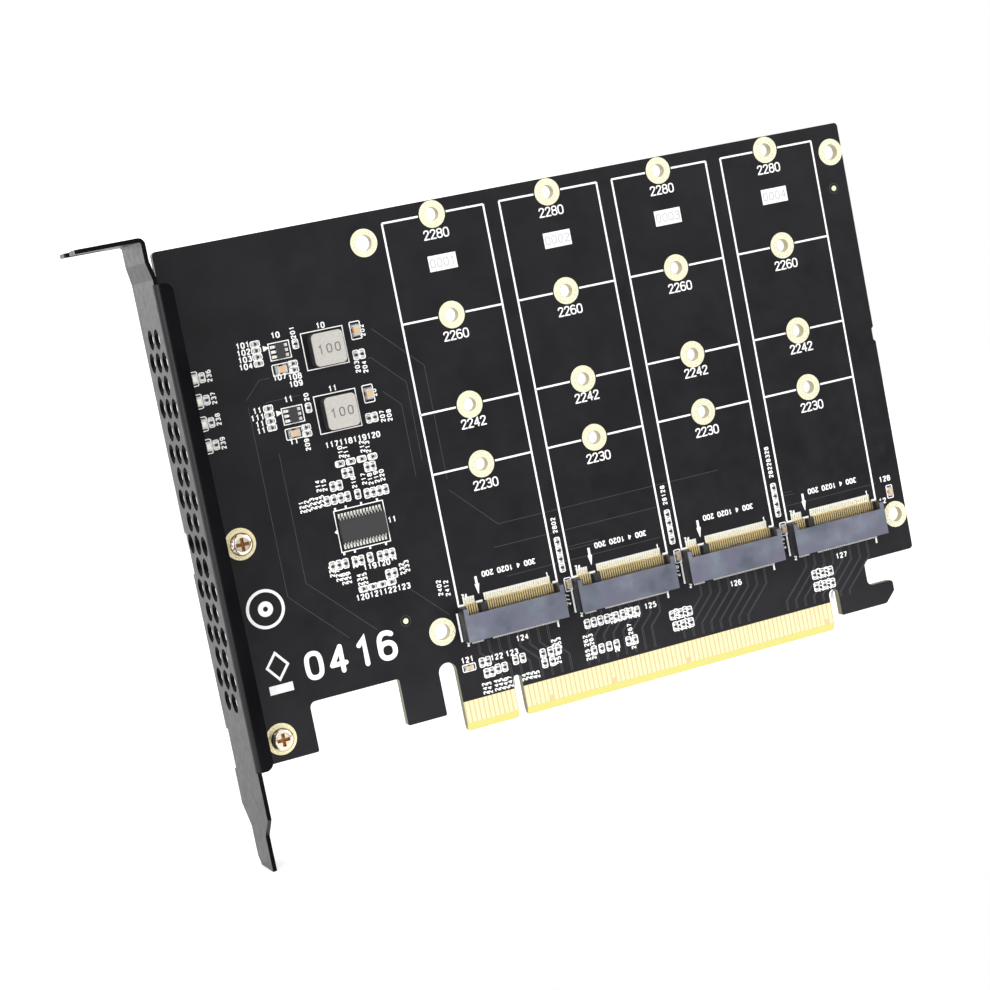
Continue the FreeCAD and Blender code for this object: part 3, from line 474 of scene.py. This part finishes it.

# Slot bracket
# Folded steel sheet with a satin black coating of fine even grain. Its broad faces have the full
# sheen, raised toward the top as painted sheen; the faces that look along Y, among them the cut edges,
# much of the vent walls and the lip, keep only a small share of it, as painted shade.
coat_deep, coat_lit = (0.0020, 0.0019, 0.0025, 1), (0.0040, 0.0038, 0.005, 1)
shaded_edge_sheen_share = 0.12
painted_sheen_by_height = (-40 * mm, 55 * mm, 0.23, 0.45)
bracket_coat, tree, shader, place, normal = new_finish("satin_black_coat")
cloud = spread(tree, grain(tree, place, 14.0), 0.35, 0.65)
tint(tree, shader, blend(tree, cloud, coat_deep, coat_lit))
polish(tree, shader, grain(tree, place, 1.5), 0.32, 0.40)
outward = split(tree, normal)
flat_face = arithmetic(tree, "MAXIMUM", *(arithmetic(tree, "ABSOLUTE", outward[i], 0) for i in (0, 2)))
# Painted sheen: the specular level rises with height, so the upper bracket shines more.
painted_height_sheen = spread(tree, split(tree, place)[2], *painted_sheen_by_height)
# Painted shade: faces that look along Y keep only a small share of the sheen.
sheen = product(tree, spread(tree, flat_face, 0.3, 0.8, shaded_edge_sheen_share, 1.0), painted_height_sheen)
tree.links.new(sheen, shader.inputs["Specular IOR Level"])
raise_by(tree, shader, grain(tree, place, 0.3), 0.0015)
wear(["slot_bracket"], bracket_coat)

# Bracket screws and their pads
# Pan head machine screws of yellow passivated steel with a cross recess, on bare gold pads.
# The passivation runs from straw to a pinkish bronze; the cross recess is painted brown as painted shade.
recess_reach, recess_depth, recess_fade = 1.45, 0.12, 0.5
pad_pale, pad_deep = (0.98, 0.91, 0.60, 1), (0.94, 0.82, 0.46, 1)
straw, bronze, recess_shade_brown = (0.97, 0.90, 0.74, 1), (0.93, 0.78, 0.62, 1), (0.30, 0.14, 0.05, 1)


def screw_finish(name):
    """Passivated steel of one screw, brown with painted shade where it is near the axis and below the head's
    top, in the cross recess.
    """
    low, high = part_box(name)
    material, tree, shader, place, normal = new_finish("steel_of_" + name)
    bloom = spread(tree, grain(tree, place, 1.8), 0.35, 0.65)
    head = blend(tree, bloom, straw, bronze)
    axis = ((low[0] + high[0]) / 2, 0.0, (low[2] + high[2]) / 2)
    flat = node(tree, "ShaderNodeVectorMath", {0: place, 1: (1.0, 0.0, 1.0)}, operation="MULTIPLY").outputs[0]
    away = node(tree, "ShaderNodeVectorMath", {0: flat, 1: axis}, operation="DISTANCE").outputs["Value"]
    within = arithmetic(tree, "LESS_THAN", away, recess_reach * mm)
    top = low[1] + recess_depth * mm
    sunk = spread(tree, split(tree, place)[1], top, low[1] + (recess_depth + recess_fade) * mm)
    tint(tree, shader, blend(tree, product(tree, within, sunk), head, recess_shade_brown))
    polish(tree, shader, grain(tree, place, 0.4), 0.14, 0.26)
    raise_by(tree, shader, grain(tree, place, 0.2), 0.003)
    shader.inputs["Metallic"].default_value = 1.0
    return material


for name in ("bracket_screw_upper", "bracket_screw_lower"):
    wear([name], screw_finish(name))
wear(["screw_pads"], plated("screw_pad_gold", pad_pale, pad_deep, (0.22, 0.3), 0.45))

# Drive sockets
# Glass filled nylon mouldings, black in the mass. The large flat top, where the placing machine
# sucks, is painted slate grey with violet patches, a painted reflection on the black nylon; the
# sides and the mouth keep the mould's matt skin.
deep_slate_reflection, pale_slate_reflection = (0.055, 0.066, 0.090, 1), (0.135, 0.152, 0.19, 1)
violet_slate_reflection = (0.10, 0.097, 0.14, 1)
matt_black = (0.012, 0.013, 0.016, 1)
top_skin = 0.5
nylon, tree, shader, place, normal = new_finish("socket_nylon")
flow = spread(tree, grain(tree, place, 7.0, 4.0), 0.35, 0.65)
aside = node(tree, "ShaderNodeMapping", {"Vector": place, "Location": (0.3, 0.1, 0.7)}).outputs["Vector"]
haze = spread(tree, grain(tree, aside, 4.0, 4.0), 0.4, 0.65)
# Painted reflection: the top face gets slate grey and violet in place of the moulding's black.
painted_top_reflection = blend(tree, haze, blend(tree, flow, deep_slate_reflection, pale_slate_reflection), violet_slate_reflection)
is_top = arithmetic(tree, "LESS_THAN", split(tree, normal)[1], -0.9)
skin_y = socket_boxes[0][0][1] + top_skin * mm
is_outer = arithmetic(tree, "LESS_THAN", split(tree, place)[1], skin_y)
tint(tree, shader, blend(tree, product(tree, is_top, is_outer), matt_black, painted_top_reflection))
polish(tree, shader, grain(tree, place, 0.6), 0.38, 0.52)
raise_by(tree, shader, grain(tree, place, 0.15), 0.004)
wear([f"drive_socket_{i}" for i in (1, 2, 3, 4)], nylon)

# Socket contacts
# Stamped bronze springs, gold in the mouth. Their toes lie in solder on the board, which gives them
# a creamy bright skin in front of the mouth; behind the housing they are painted grey, as painted shade.
spring_pale, spring_deep = (1.0, 0.84, 0.46, 1), (0.95, 0.72, 0.34, 1)
cream_solder, shaded_rear_solder = (0.97, 0.95, 0.82, 1), (0.45, 0.45, 0.44, 1)
spring, tree, shader, place, normal = new_finish("socket_springs")
lift = split(tree, place)[2]
toe = arithmetic(tree, "GREATER_THAN", lift, (socket_mouth + 0.25) * mm)
# Painted shade: the toes behind the housing are grey.
shaded_tail = arithmetic(tree, "LESS_THAN", lift, (socket_bottom + 0.1) * mm)
speck = grain(tree, place, 0.5)
colour = blend(tree, toe, blend(tree, speck, spring_pale, spring_deep), cream_solder)
tint(tree, shader, blend(tree, shaded_tail, colour, shaded_rear_solder))
polish(tree, shader, speck, 0.25, 0.38)
shader.inputs["Metallic"].default_value = 1.0
wear([f"socket_contacts_{i}" for i in (1, 2, 3, 4)], spring)

# Power inductors
# A dark pressed ferrite drum with square flanges, wound with enamelled copper. Its upper face is
# ground and sealed with a pale grey coat that wraps a little way over the rim.
cap_pale, cap_deep, cap_depth = (0.45, 0.435, 0.40, 1), (0.39, 0.375, 0.345, 1), 0.3
raw_dark, raw_pale = (0.008, 0.008, 0.009, 1), (0.02, 0.019, 0.018, 1)
wire_shadow, wire_bright, wire_scale = (0.05, 0.022, 0.012, 1), (0.42, 0.20, 0.10, 1), 900.0
ferrite, tree, shader, place, normal = new_finish("ferrite_drum_with_pale_cap")
speckle = grain(tree, place, 0.35)
cap_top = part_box("inductor_core_upper")[0][1]
over_rim = arithmetic(tree, "LESS_THAN", split(tree, place)[1], cap_top + cap_depth * mm)
sealed = blend(tree, spread(tree, speckle, 0.3, 0.7), cap_pale, cap_deep)
raw = blend(tree, speckle, raw_dark, raw_pale)
tint(tree, shader, blend(tree, over_rim, raw, sealed))
polish(tree, shader, speckle, 0.5, 0.65)
raise_by(tree, shader, speckle, 0.003)
wear(["inductor_core_upper", "inductor_core_lower"], ferrite)
winding, tree, shader, place, normal = new_finish("enamelled_copper")
wire = node(tree, "ShaderNodeTexWave", {"Vector": place, "Scale": wire_scale}, bands_direction="Y")
turns = wire.outputs["Fac"]
tint(tree, shader, blend(tree, turns, wire_shadow, wire_bright))
tree.links.new(spread(tree, turns, 0, 1, 0.35, 0.25), shader.inputs["Roughness"])
raise_by(tree, shader, turns, 0.05)
shader.inputs["Metallic"].default_value = 0.7
wear(["inductor_coil_upper", "inductor_coil_lower"], winding)

# Regulators and clock buffer
# Black epoxy packages, moulded round their chips, with a dull skin. Their gull wing leads are stamped
# from copper strip, plated with matt tin and bent so that the toes lie flat on the board.
epoxy_deep, epoxy_pale = (0.012, 0.012, 0.013, 1), (0.03, 0.03, 0.032, 1)
tin_pale, tin_deep = (0.92, 0.92, 0.90, 1), (0.74, 0.74, 0.73, 1)
epoxy, tree, shader, place, normal = new_finish("moulded_epoxy")
sand = grain(tree, place, 0.12)
tint(tree, shader, blend(tree, sand, epoxy_deep, epoxy_pale))
polish(tree, shader, sand, 0.5, 0.62)
raise_by(tree, shader, sand, 0.006)
wear(["regulator_upper", "regulator_lower", "clock_buffer"], epoxy)
tin, tree, shader, place, normal = new_finish("matt_tin")
crust = grain(tree, place, 0.2)
tint(tree, shader, blend(tree, crust, tin_pale, tin_deep))
polish(tree, shader, crust, 0.28, 0.42)
raise_by(tree, shader, crust, 0.004)
shader.inputs["Metallic"].default_value = 1.0
wear(["regulator_leads_upper", "regulator_leads_lower", "clock_buffer_leads", "chip_terminals"], tin)

# Chip parts and status lights
# Fired ceramic bricks: dark resistors and small capacitors, tan large capacitors, and four lights
# under milky resin, each between two tinned ends.


def ceramic(name, pale, deep, roughness):
    """Fired ceramic with fine pores."""
    material, tree, shader, place, normal = new_finish(name)
    pores = grain(tree, place, 0.15)
    tint(tree, shader, blend(tree, pores, pale, deep))
    polish(tree, shader, pores, *roughness)
    raise_by(tree, shader, pores, 0.005)
    return material


for name, finish, pale, deep, roughness in (
    ("small_chips", "dark_ceramic", (0.035, 0.035, 0.04, 1), (0.012, 0.012, 0.014, 1), (0.35, 0.5)),
    ("ceramic_capacitors", "tan_ceramic", (0.60, 0.42, 0.24, 1), (0.50, 0.33, 0.18, 1), (0.4, 0.55)),
    ("status_lights", "milky_resin", (0.95, 0.94, 0.86, 1), (0.88, 0.86, 0.74, 1), (0.15, 0.25)),
):
    wear([name], ceramic(finish, pale, deep, roughness))


def mesh_points(name):
    """Points of a node's mesh in mm."""
    mesh = nodes[name].data
    points = np.empty(len(mesh.vertices) * 3)
    mesh.vertices.foreach_get("co", points)
    return points.reshape(-1, 3) / mm


def bricks(name):
    """Middle, width and length (x, z, dx, dz in mm) of each brick of a node: twelve triangles to a brick."""
    mesh = nodes[name].data
    index = np.empty(len(mesh.loops), dtype=int)
    mesh.loops.foreach_get("vertex_index", index)
    corners = mesh_points(name)[index].reshape(-1, 36, 3)[:, :, 0::2]
    low, high = corners.min(axis=1), corners.max(axis=1)
    return np.concatenate([(low + high) / 2, high - low], axis=1)


fillet_reach, fillet_top_reach = 0.22, 0.02
fillet_share, fillet_height_limit = 0.35, 0.9


def solder_fillets(name, ends):
    """Sloped solder round each metal end (x, z, dx, dz).

    A block is wider than its end by the reach at the board and hardly wider at its own top, and its
    height is a share of the end's longer side.
    """
    sign = np.array([(-1, -1), (1, -1), (1, 1), (-1, 1)])
    middle, size = ends[:, None, :2], ends[:, None, 2:]
    foot = middle + sign * (size / 2 + fillet_reach)
    head = middle + sign * (size / 2 + fillet_top_reach)
    tall = np.minimum(ends[:, 2:].max(axis=1), fillet_height_limit)[:, None] * fillet_share
    points = np.empty((len(ends), 8, 3))
    points[:, :4, 0::2], points[:, 4:, 0::2] = foot * mm, head * mm
    points[:, :4, 1], points[:, 4:, 1] = face_y, face_y - tall * mm
    block = np.array([(3, 2, 1, 0), (4, 5, 6, 7), (0, 1, 5, 4), (1, 2, 6, 5), (2, 3, 7, 6), (3, 0, 4, 7)])
    faces = (block + np.arange(len(ends))[:, None, None] * 8).reshape(-1, 4)
    return solid_from(name, points.reshape(-1, 3), faces)


belongs(solder_fillets("chip_solder_fillets", bricks("chip_terminals")), tin)

# Solder under the leads
# Every toe of a socket contact, of a regulator and of the clock buffer is soaked in solder on a bare
# copper pad. The pads stand out past the toes and nearly touch, so each row shines as one band.
solder_rise = 0.07
toe_pad_width, mouth_pad_length, rear_pad_length = 0.45, 1.45, 0.8
regulator_pad_length, regulator_pad_width = 1.25, 0.6
buffer_pad_width = 0.4


def toe_places(name, low, high):
    """Middles across of a node's leads that reach between two heights in mm: each lead has two sides."""
    x, _, z = mesh_points(name).T
    sides = np.unique(np.round(x[(z > low) & (z < high)], 2))
    return sides.reshape(-1, 2).mean(axis=1)


pads = []
for i in (1, 2, 3, 4):
    for low, high, start, length in (
        (socket_mouth + 0.3, socket_mouth + 3.0, socket_mouth + 0.2, mouth_pad_length),
        (socket_bottom - 3.0, socket_bottom - 0.2, socket_bottom - 0.05, -rear_pad_length),
    ):
        toes = toe_places(f"socket_contacts_{i}", low, high)
        pads += [([(x, start), (x, start + length)], toe_pad_width, True) for x in toes]
for name in ("regulator_leads_upper", "regulator_leads_lower"):
    low, high = (np.array(corner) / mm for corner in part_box(name))
    half = regulator_pad_length / 2
    pads += [([(x - half, z), (x + half, z)], regulator_pad_width, True)
             for x in (low[0] + 0.3, high[0] - 0.3) for z in np.linspace(low[2] + 0.2, high[2] - 0.2, 3)]
low, high = (np.array(corner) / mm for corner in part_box("clock_buffer_leads"))
for x in toe_places("clock_buffer_leads", high[2] - 0.4, high[2] + 0.1):
    pads += [([(x, z - 0.5), (x, z + 0.45)], buffer_pad_width, True) for z in (low[2] + 0.2, high[2] - 0.2)]
solder_pale, solder_deep = (0.97, 0.96, 0.90, 1), (0.86, 0.85, 0.78, 1)
bright_solder, tree, shader, place, normal = new_finish("bright_solder")
pool = grain(tree, place, 0.4)
tint(tree, shader, blend(tree, pool, solder_pale, solder_deep))
polish(tree, shader, pool, 0.3, 0.42)
shader.inputs["Metallic"].default_value = 0.6
raise_by(tree, shader, pool, 0.01)
belongs(flat_bars("lead_solder_pads", pads, solder_rise), bright_solder)

# White print of the drive places
# Epoxy ink screened on the mask, 0.035 mm thick: the outline of the longest drive, a cross line
# through each screw hole, and the drive lengths in plain figures.
ink_rise = 0.035
frame_left, frame_right = 10.55, 10.95
frame_line = 0.38
ring_gap = 0.25
ink_white, ink_grey = (0.90, 0.90, 0.89, 1), (0.80, 0.80, 0.79, 1)
ink, tree, shader, place, normal = new_finish("white_ink")
tint(tree, shader, blend(tree, grain(tree, place, 0.6), ink_white, ink_grey))
polish(tree, shader, grain(tree, place, 0.3), 0.5, 0.65)
raise_by(tree, shader, grain(tree, place, 0.1), 0.003)


def drive_outline(column):
    """Frame of the longest drive, with a cross line through each hole that stops short of its ring."""
    left, right, top = column - frame_left, column + frame_right, drive_rows[0]
    foot = socket_mouth + 0.2
    lines = [
        [(column - 9.2, foot), (left, foot), (left, top)],
        [(column - 6.9, foot), (column - 5.4, foot)],
        [(right, top), (right, foot), (column + 9.9, foot)],
    ]
    for row in drive_rows:
        lines.append([(left, row), (column - drive_ring_radius - ring_gap, row)])
        lines.append([(column + drive_ring_radius + ring_gap, row), (right, row)])
    lines.append([(column + 9.45, socket_bottom - 0.9), (column + 9.45, 15.7)])
    lines.append([(left - 0.7, 23.5), (left - 0.7, socket_bottom)])
    return [(line, frame_line, True) for line in lines]


outlines = [bar for column in drive_columns for bar in drive_outline(column)]
belongs(flat_bars("print_drive_outlines", outlines, ink_rise), ink)

# Each figure as strokes on a cell 0.6 wide and 1 high
digit_lines = {
    "0": [[(0.16, 1), (0, 0.82), (0, 0.18), (0.16, 0), (0.44, 0), (0.6, 0.18), (0.6, 0.82), (0.44, 1),
           (0.16, 1)]],
    "1": [[(0.12, 0.78), (0.34, 1), (0.34, 0)]],
    "2": [[(0.02, 0.78), (0.1, 1), (0.52, 1), (0.6, 0.72), (0.3, 0.36), (0, 0)], [(0, 0), (0.6, 0)]],
    "3": [[(0.03, 0.9), (0.18, 1), (0.46, 1), (0.58, 0.88), (0.58, 0.66), (0.46, 0.54), (0.24, 0.53)],
          [(0.3, 0.53), (0.48, 0.52), (0.6, 0.4), (0.6, 0.14), (0.46, 0), (0.16, 0), (0.01, 0.14)]],
    "4": [[(0.45, 0), (0.45, 1)], [(0.45, 1), (0, 0.3)], [(0, 0.3), (0.6, 0.3)]],
    "5": [[(0.55, 1), (0.08, 1)], [(0.08, 1), (0.05, 0.56)],
          [(0.05, 0.56), (0.2, 0.63), (0.44, 0.63), (0.6, 0.46), (0.6, 0.16), (0.44, 0), (0.16, 0),
           (0, 0.12)]],
    "6": [[(0.54, 0.92), (0.4, 1), (0.16, 1), (0, 0.8), (0, 0.3)],
          [(0.16, 0.6), (0, 0.44), (0, 0.16), (0.16, 0), (0.44, 0), (0.6, 0.16), (0.6, 0.44), (0.44, 0.6),
           (0.16, 0.6)]],
    "7": [[(0, 1), (0.6, 1)], [(0.6, 1), (0.2, 0)]],
    "8": [[(0.17, 0.54), (0.03, 0.66), (0.03, 0.88), (0.17, 1), (0.43, 1), (0.57, 0.88), (0.57, 0.66),
           (0.43, 0.54), (0.17, 0.54)],
          [(0.16, 0.54), (0, 0.4), (0, 0.14), (0.16, 0), (0.44, 0), (0.6, 0.14), (0.6, 0.4), (0.44, 0.54),
           (0.16, 0.54)]],
    "9": [[(0.06, 0.08), (0.2, 0), (0.44, 0), (0.6, 0.2), (0.6, 0.7)],
          [(0.16, 0.4), (0, 0.56), (0, 0.84), (0.16, 1), (0.44, 1), (0.6, 0.84), (0.6, 0.56), (0.44, 0.4),
           (0.16, 0.4)]],
}


def softened(line, rounds):
    """Line with its corners cut: each run gives way to its quarter points, and open ends stay."""
    line = np.asarray(line, float)
    closed = np.allclose(line[0], line[-1])
    for _ in range(rounds if len(line) > 3 else 0):
        first, second = line[:-1], line[1:]
        cut = np.stack([0.75 * first + 0.25 * second, 0.25 * first + 0.75 * second], axis=1).reshape(-1, 2)
        line = np.concatenate([cut, cut[:1]]) if closed else np.concatenate([line[:1], cut[1:-1], line[-1:]])
    return line


def figures(text, x, z, tall, stroke=0.14, turn=0, pitch=0.82, rounds=2):
    """Bars of plain figures centred on (x, z), tall mm high and turned by turn degrees.

    The stroke is a share of the height, the pitch a share of what is left of it. Figures that aren't
    rounded keep square ends, which makes them light enough for the hundreds of small labels.
    """
    run = pitch * (len(text) - 1) + 0.6
    c, s = math.cos(math.radians(turn)), math.sin(math.radians(turn))
    bars = []
    for i, digit in enumerate(text):
        for line in digit_lines[digit]:
            flat = (softened(line, rounds) + (pitch * i - run / 2, -0.5)) * tall * (1 - stroke)
            bars.append((flat @ np.array([(c, s), (-s, c)]) + (x, z), stroke * tall, rounds == 0))
    return bars


length_rows = [("2280", 97.45), ("2260", 77.35), ("2242", 59.7), ("2230", 47.3)]
length_height = 1.95
lengths = [bar for column in drive_columns for text, row in length_rows
           for bar in figures(text, column + 0.1, row, length_height)]
belongs(flat_bars("print_drive_lengths", lengths, ink_rise), ink)

# White frames round the parts
# A thin outline marks where each part is placed: cut corners round the small chips, square frames
# with ticks round the inductors and the integrated circuits.
frame_stroke = 0.19
chip_frame, light_frame = (1.8, 1.12), (1.4, 2.7)
small_capacitor_frame, large_capacitor_frame, large_area = (2.7, 1.4), (3.4, 2.1), 1.1
tick_height, tick_stroke = 0.55, 0.4
arrow_widths = (1.1, 0.1)


def outline_of(x, z, wide, tall, cut=0.2):
    """Closed outline of a rectangle whose corners are cut at 45 degrees."""
    w, t = wide / 2, tall / 2
    corners = [(w - cut, -t), (w, cut - t), (w, t - cut), (w - cut, t),
               (cut - w, t), (-w, t - cut), (-w, cut - t), (cut - w, -t)]
    return [(x + a, z + b) for a, b in corners + corners[:1]]


def square_frame(left, right, low, top):
    """Closed rectangle through its four corners."""
    return [(left, low), (right, low), (right, top), (left, top), (left, low)]


frames = []
for x, z, dx, dz in bricks("small_chips"):
    frames.append(outline_of(x, z, *(chip_frame if dx > dz else chip_frame[::-1])))
for x, z, dx, dz in bricks("ceramic_capacitors"):
    large = dx * dz > large_area
    size = large_capacitor_frame if large else small_capacitor_frame
    lying = dz > dx if large else dx > dz
    frames.append(outline_of(x, z, *(size if lying else size[::-1]), 0.15))
for x, z, dx, dz in bricks("status_lights"):
    frames.append(outline_of(x, z, *light_frame))
frames += [  # left, right, low, top
    square_frame(-29.75, -21.25, 76.45, 83.65), square_frame(-29.75, -21.25, 63.95, 71.3),
    square_frame(-36.5, -32.35, 79.7, 83.0), square_frame(-36.5, -32.35, 67.2, 70.4),
    square_frame(-30.4, -20.25, 40.7, 48.85),
]
ticks = [[(x, z), (x, z + tick_height)] for x in (-30.0, -27.8, -24.6, -21.3) for z in (48.9, 40.1)]
ticks += [[(-30.4, 45.1), (-30.75, 44.8), (-30.4, 44.5)]]
frame_bars = [(line, frame_stroke) for line in frames] + [(line, tick_stroke, True) for line in ticks]
frame_bars += [([(-37.6, z), (-36.4, z)], arrow_widths, True) for z in (82.3, 69.7)]
belongs(flat_bars("print_part_frames", frame_bars, ink_rise), ink)

# White part labels
# Every part has a label beside it. Here they are plain running numbers, three figures to a label,
# lying or standing on end, with no letters and no words.
label_stroke, note_stroke = 0.2, 0.24
level_height, standing_height, row_height, note_height = 1.2, 1.0, 1.15, 0.95
arrow_shift, arrow_shaft = -5.9, 0.5
level_labels = [  # x, z in mm and how many figures
    (-41.4, 83.7, 3), (-41.5, 82.35, 3), (-41.5, 81.0, 3), (-41.6, 79.65, 3), (-34.7, 84.4, 2),
    (-25.5, 84.5, 2), (-35.5, 76.4, 3), (-32.5, 75.9, 3), (-32.6, 74.55, 3), (-41.2, 71.0, 2),
    (-41.4, 69.7, 3), (-41.2, 68.4, 2), (-41.2, 67.1, 2), (-34.7, 71.9, 2), (-25.6, 72.15, 2),
    (-35.3, 63.8, 2), (-23.7, 61.6, 12), (-19.1, 44.7, 2), (-24.0, 36.8, 6), (-23.8, 31.3, 12),
    (-9.6, 14.0, 3), (-3.4, 13.1, 3), (-0.1, 13.1, 3), (2.7, 15.5, 3), (31.4, 15.2, 3), (51.3, 15.1, 3),
    (76.7, 15.1, 3), (90.1, 28.6, 3), (88.7, 24.1, 2),
]
standing_labels = [
    (-31.2, 84.2, 3), (-17.4, 81.9, 3), (-19.8, 75.2, 3), (-18.3, 74.9, 3), (-31.1, 71.6, 2),
    (-17.5, 69.6, 2), (-16.8, 64.8, 3), (-15.4, 64.7, 3), (-32.8, 62.6, 3), (-26.6, 59.8, 3),
    (-25.5, 59.6, 3), (-22.1, 59.9, 3), (-21.0, 59.6, 3), (-32.4, 54.3, 3), (-31.2, 54.2, 3),
    (-25.2, 53.5, 3), (-23.1, 53.7, 3), (-21.8, 53.4, 3), (-20.5, 53.5, 3), (-19.3, 53.6, 3),
    (-36.4, 51.0, 3), (-35.3, 51.0, 3), (-34.2, 51.2, 3), (-33.2, 51.2, 3), (-32.2, 51.3, 3),
    (-33.2, 37.6, 3), (-32.1, 36.5, 3), (-31.1, 35.6, 3), (-30.1, 35.6, 3), (-28.3, 38.3, 3),
    (-20.3, 38.0, 3), (-19.1, 34.8, 3), (-18.0, 35.1, 3), (-28.0, 34.7, 3), (-26.9, 34.7, 3),
    (-49.0, 79.4, 3), (-49.0, 75.1, 3), (-49.0, 71.0, 3), (-49.0, 66.4, 3), (-12.3, 29.3, 4),
    (-10.8, 28.9, 4), (-7.1, 7.5, 3), (-6.1, 7.4, 3), (-4.6, 7.5, 3), (-3.6, 7.5, 3), (-2.6, 7.4, 3),
    (-1.6, 7.5, 3), (1.5, 7.6, 2), (2.4, 7.7, 2), (3.4, 7.6, 2), (4.4, 7.5, 2), (9.1, 12.4, 3),
    (10.2, 12.5, 3), (8.4, 9.5, 3), (9.5, 9.6, 3), (22.7, 14.6, 3), (23.8, 14.7, 3), (24.9, 14.7, 3),
    (26.0, 14.8, 3), (27.1, 14.7, 3), (28.2, 14.6, 3), (16.0, 11.5, 3), (17.2, 11.5, 3), (22.4, 8.8, 3),
    (15.9, 8.6, 3), (17.1, 8.6, 3), (26.0, 11.5, 3), (26.1, 8.5, 3), (36.8, 12.0, 3), (38.8, 12.0, 3),
    (37.0, 9.6, 3), (38.8, 9.6, 3), (70.6, 12.5, 3), (72.5, 12.5, 3), (70.6, 9.9, 3), (72.5, 9.9, 3),
    (13.9, 20.6, 3), (38.8, 20.6, 3), (63.7, 20.6, 3),
]
strip_labels = [(14.05, 35.9, 4), (38.95, 36.5, 5), (63.85, 37.9, 8)]


def plain_text(start, count):
    """That many figures of the running numbers from start."""
    return "".join(str(start + i) for i in range(4))[:count]


labels = []
for start, (x, z, count) in enumerate(level_labels, 101):
    labels += figures(plain_text(start, count), x, z, level_height, label_stroke, 0, 1.0, 0)
for start, (x, z, count) in enumerate(standing_labels + strip_labels, 201):
    labels += figures(plain_text(start, count), x, z, standing_height, label_stroke, 90, 1.05, 0)
for column in drive_columns:
    for text, shift in (("200", -3.25), ("1020", 0.55), ("4", 3.45), ("300", 6.0)):
        labels += figures(text, column + shift, 29.9, row_height, label_stroke, 180, 0.95, 0)
    for text, shift, z in (("74", -9.0, 26.5), ("1", 9.1, 26.6), ("2", -10.1, 17.0)):
        labels += figures(text, column + shift, z, note_height, note_stroke, 0, 0.95, 0)
    arrow_x = column + arrow_shift
    labels.append(([(arrow_x, 29.8), (arrow_x, 28.2)], arrow_shaft, True))
    labels.append(([(arrow_x, 28.3), (arrow_x, 26.3)], (1.0, 0.1), True))
belongs(flat_bars("print_part_labels", labels, ink_rise + 0.006), ink)

# White blocks, large marks and cap numbers
# A filled block with a faint number heads each drive place. The lower corner carries large plain
# marks: a ring with a dot, a lozenge over a block, and two bold numbers. The inductors' caps are
# stamped with a grey number.
block_z, block_height = 91.8, 3.1
faint_height, cap_height, thin_stroke, bold_stroke = 1.8, 1.8, 0.13, 0.17
blocks = [([(column - 2.65, block_z), (column + 3.25, block_z)], block_height, True)
          for column in drive_columns]
belongs(flat_bars("print_blocks", blocks, ink_rise), ink)
faint = ceramic("faint_grey_ink", (0.50, 0.50, 0.52, 1), (0.42, 0.42, 0.44, 1), (0.5, 0.65))
block_numbers = []
for i, column in enumerate(drive_columns, 1):
    block_numbers += figures(f"000{i}", column + 0.3, block_z, faint_height, thin_stroke, 0, 0.9, 1)
belongs(flat_bars("print_block_numbers", block_numbers, ink_rise + 0.02), faint)
marks = [
    (ring_line(-47.6, 33.6, 3.55), 0.6), (ring_line(-47.6, 33.6, 1.0), 1.0),
    ([(-49.7, 22.3), (-47.6, 24.9), (-45.5, 22.3), (-47.6, 19.7), (-49.7, 22.3)], 0.5),
    ([(-50.1, 17.9), (-45.3, 17.9)], 1.7, True),
]
marks += figures("04", -37.95, 20.65, 5.7, bold_stroke, 0, 1.05, 3)
marks += figures("16", -27.6, 20.85, 6.0, bold_stroke, 0, 0.95, 3)
belongs(flat_bars("print_large_marks", marks, ink_rise), ink)

cap_numbers = []
for name in ("inductor_core_upper", "inductor_core_lower"):
    low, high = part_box(name)
    x, z = (low[0] + high[0]) / 2 / mm, (low[2] + high[2]) / 2 / mm
    cap_numbers += figures("100", x, z, cap_height, thin_stroke, 0, 1.1, 2)
dark_ink = ceramic("dark_grey_ink", (0.16, 0.155, 0.15, 1), (0.09, 0.088, 0.085, 1), (0.5, 0.65))
belongs(flat_bars("print_cap_numbers", cap_numbers, 0.02, cap_top), dark_ink)
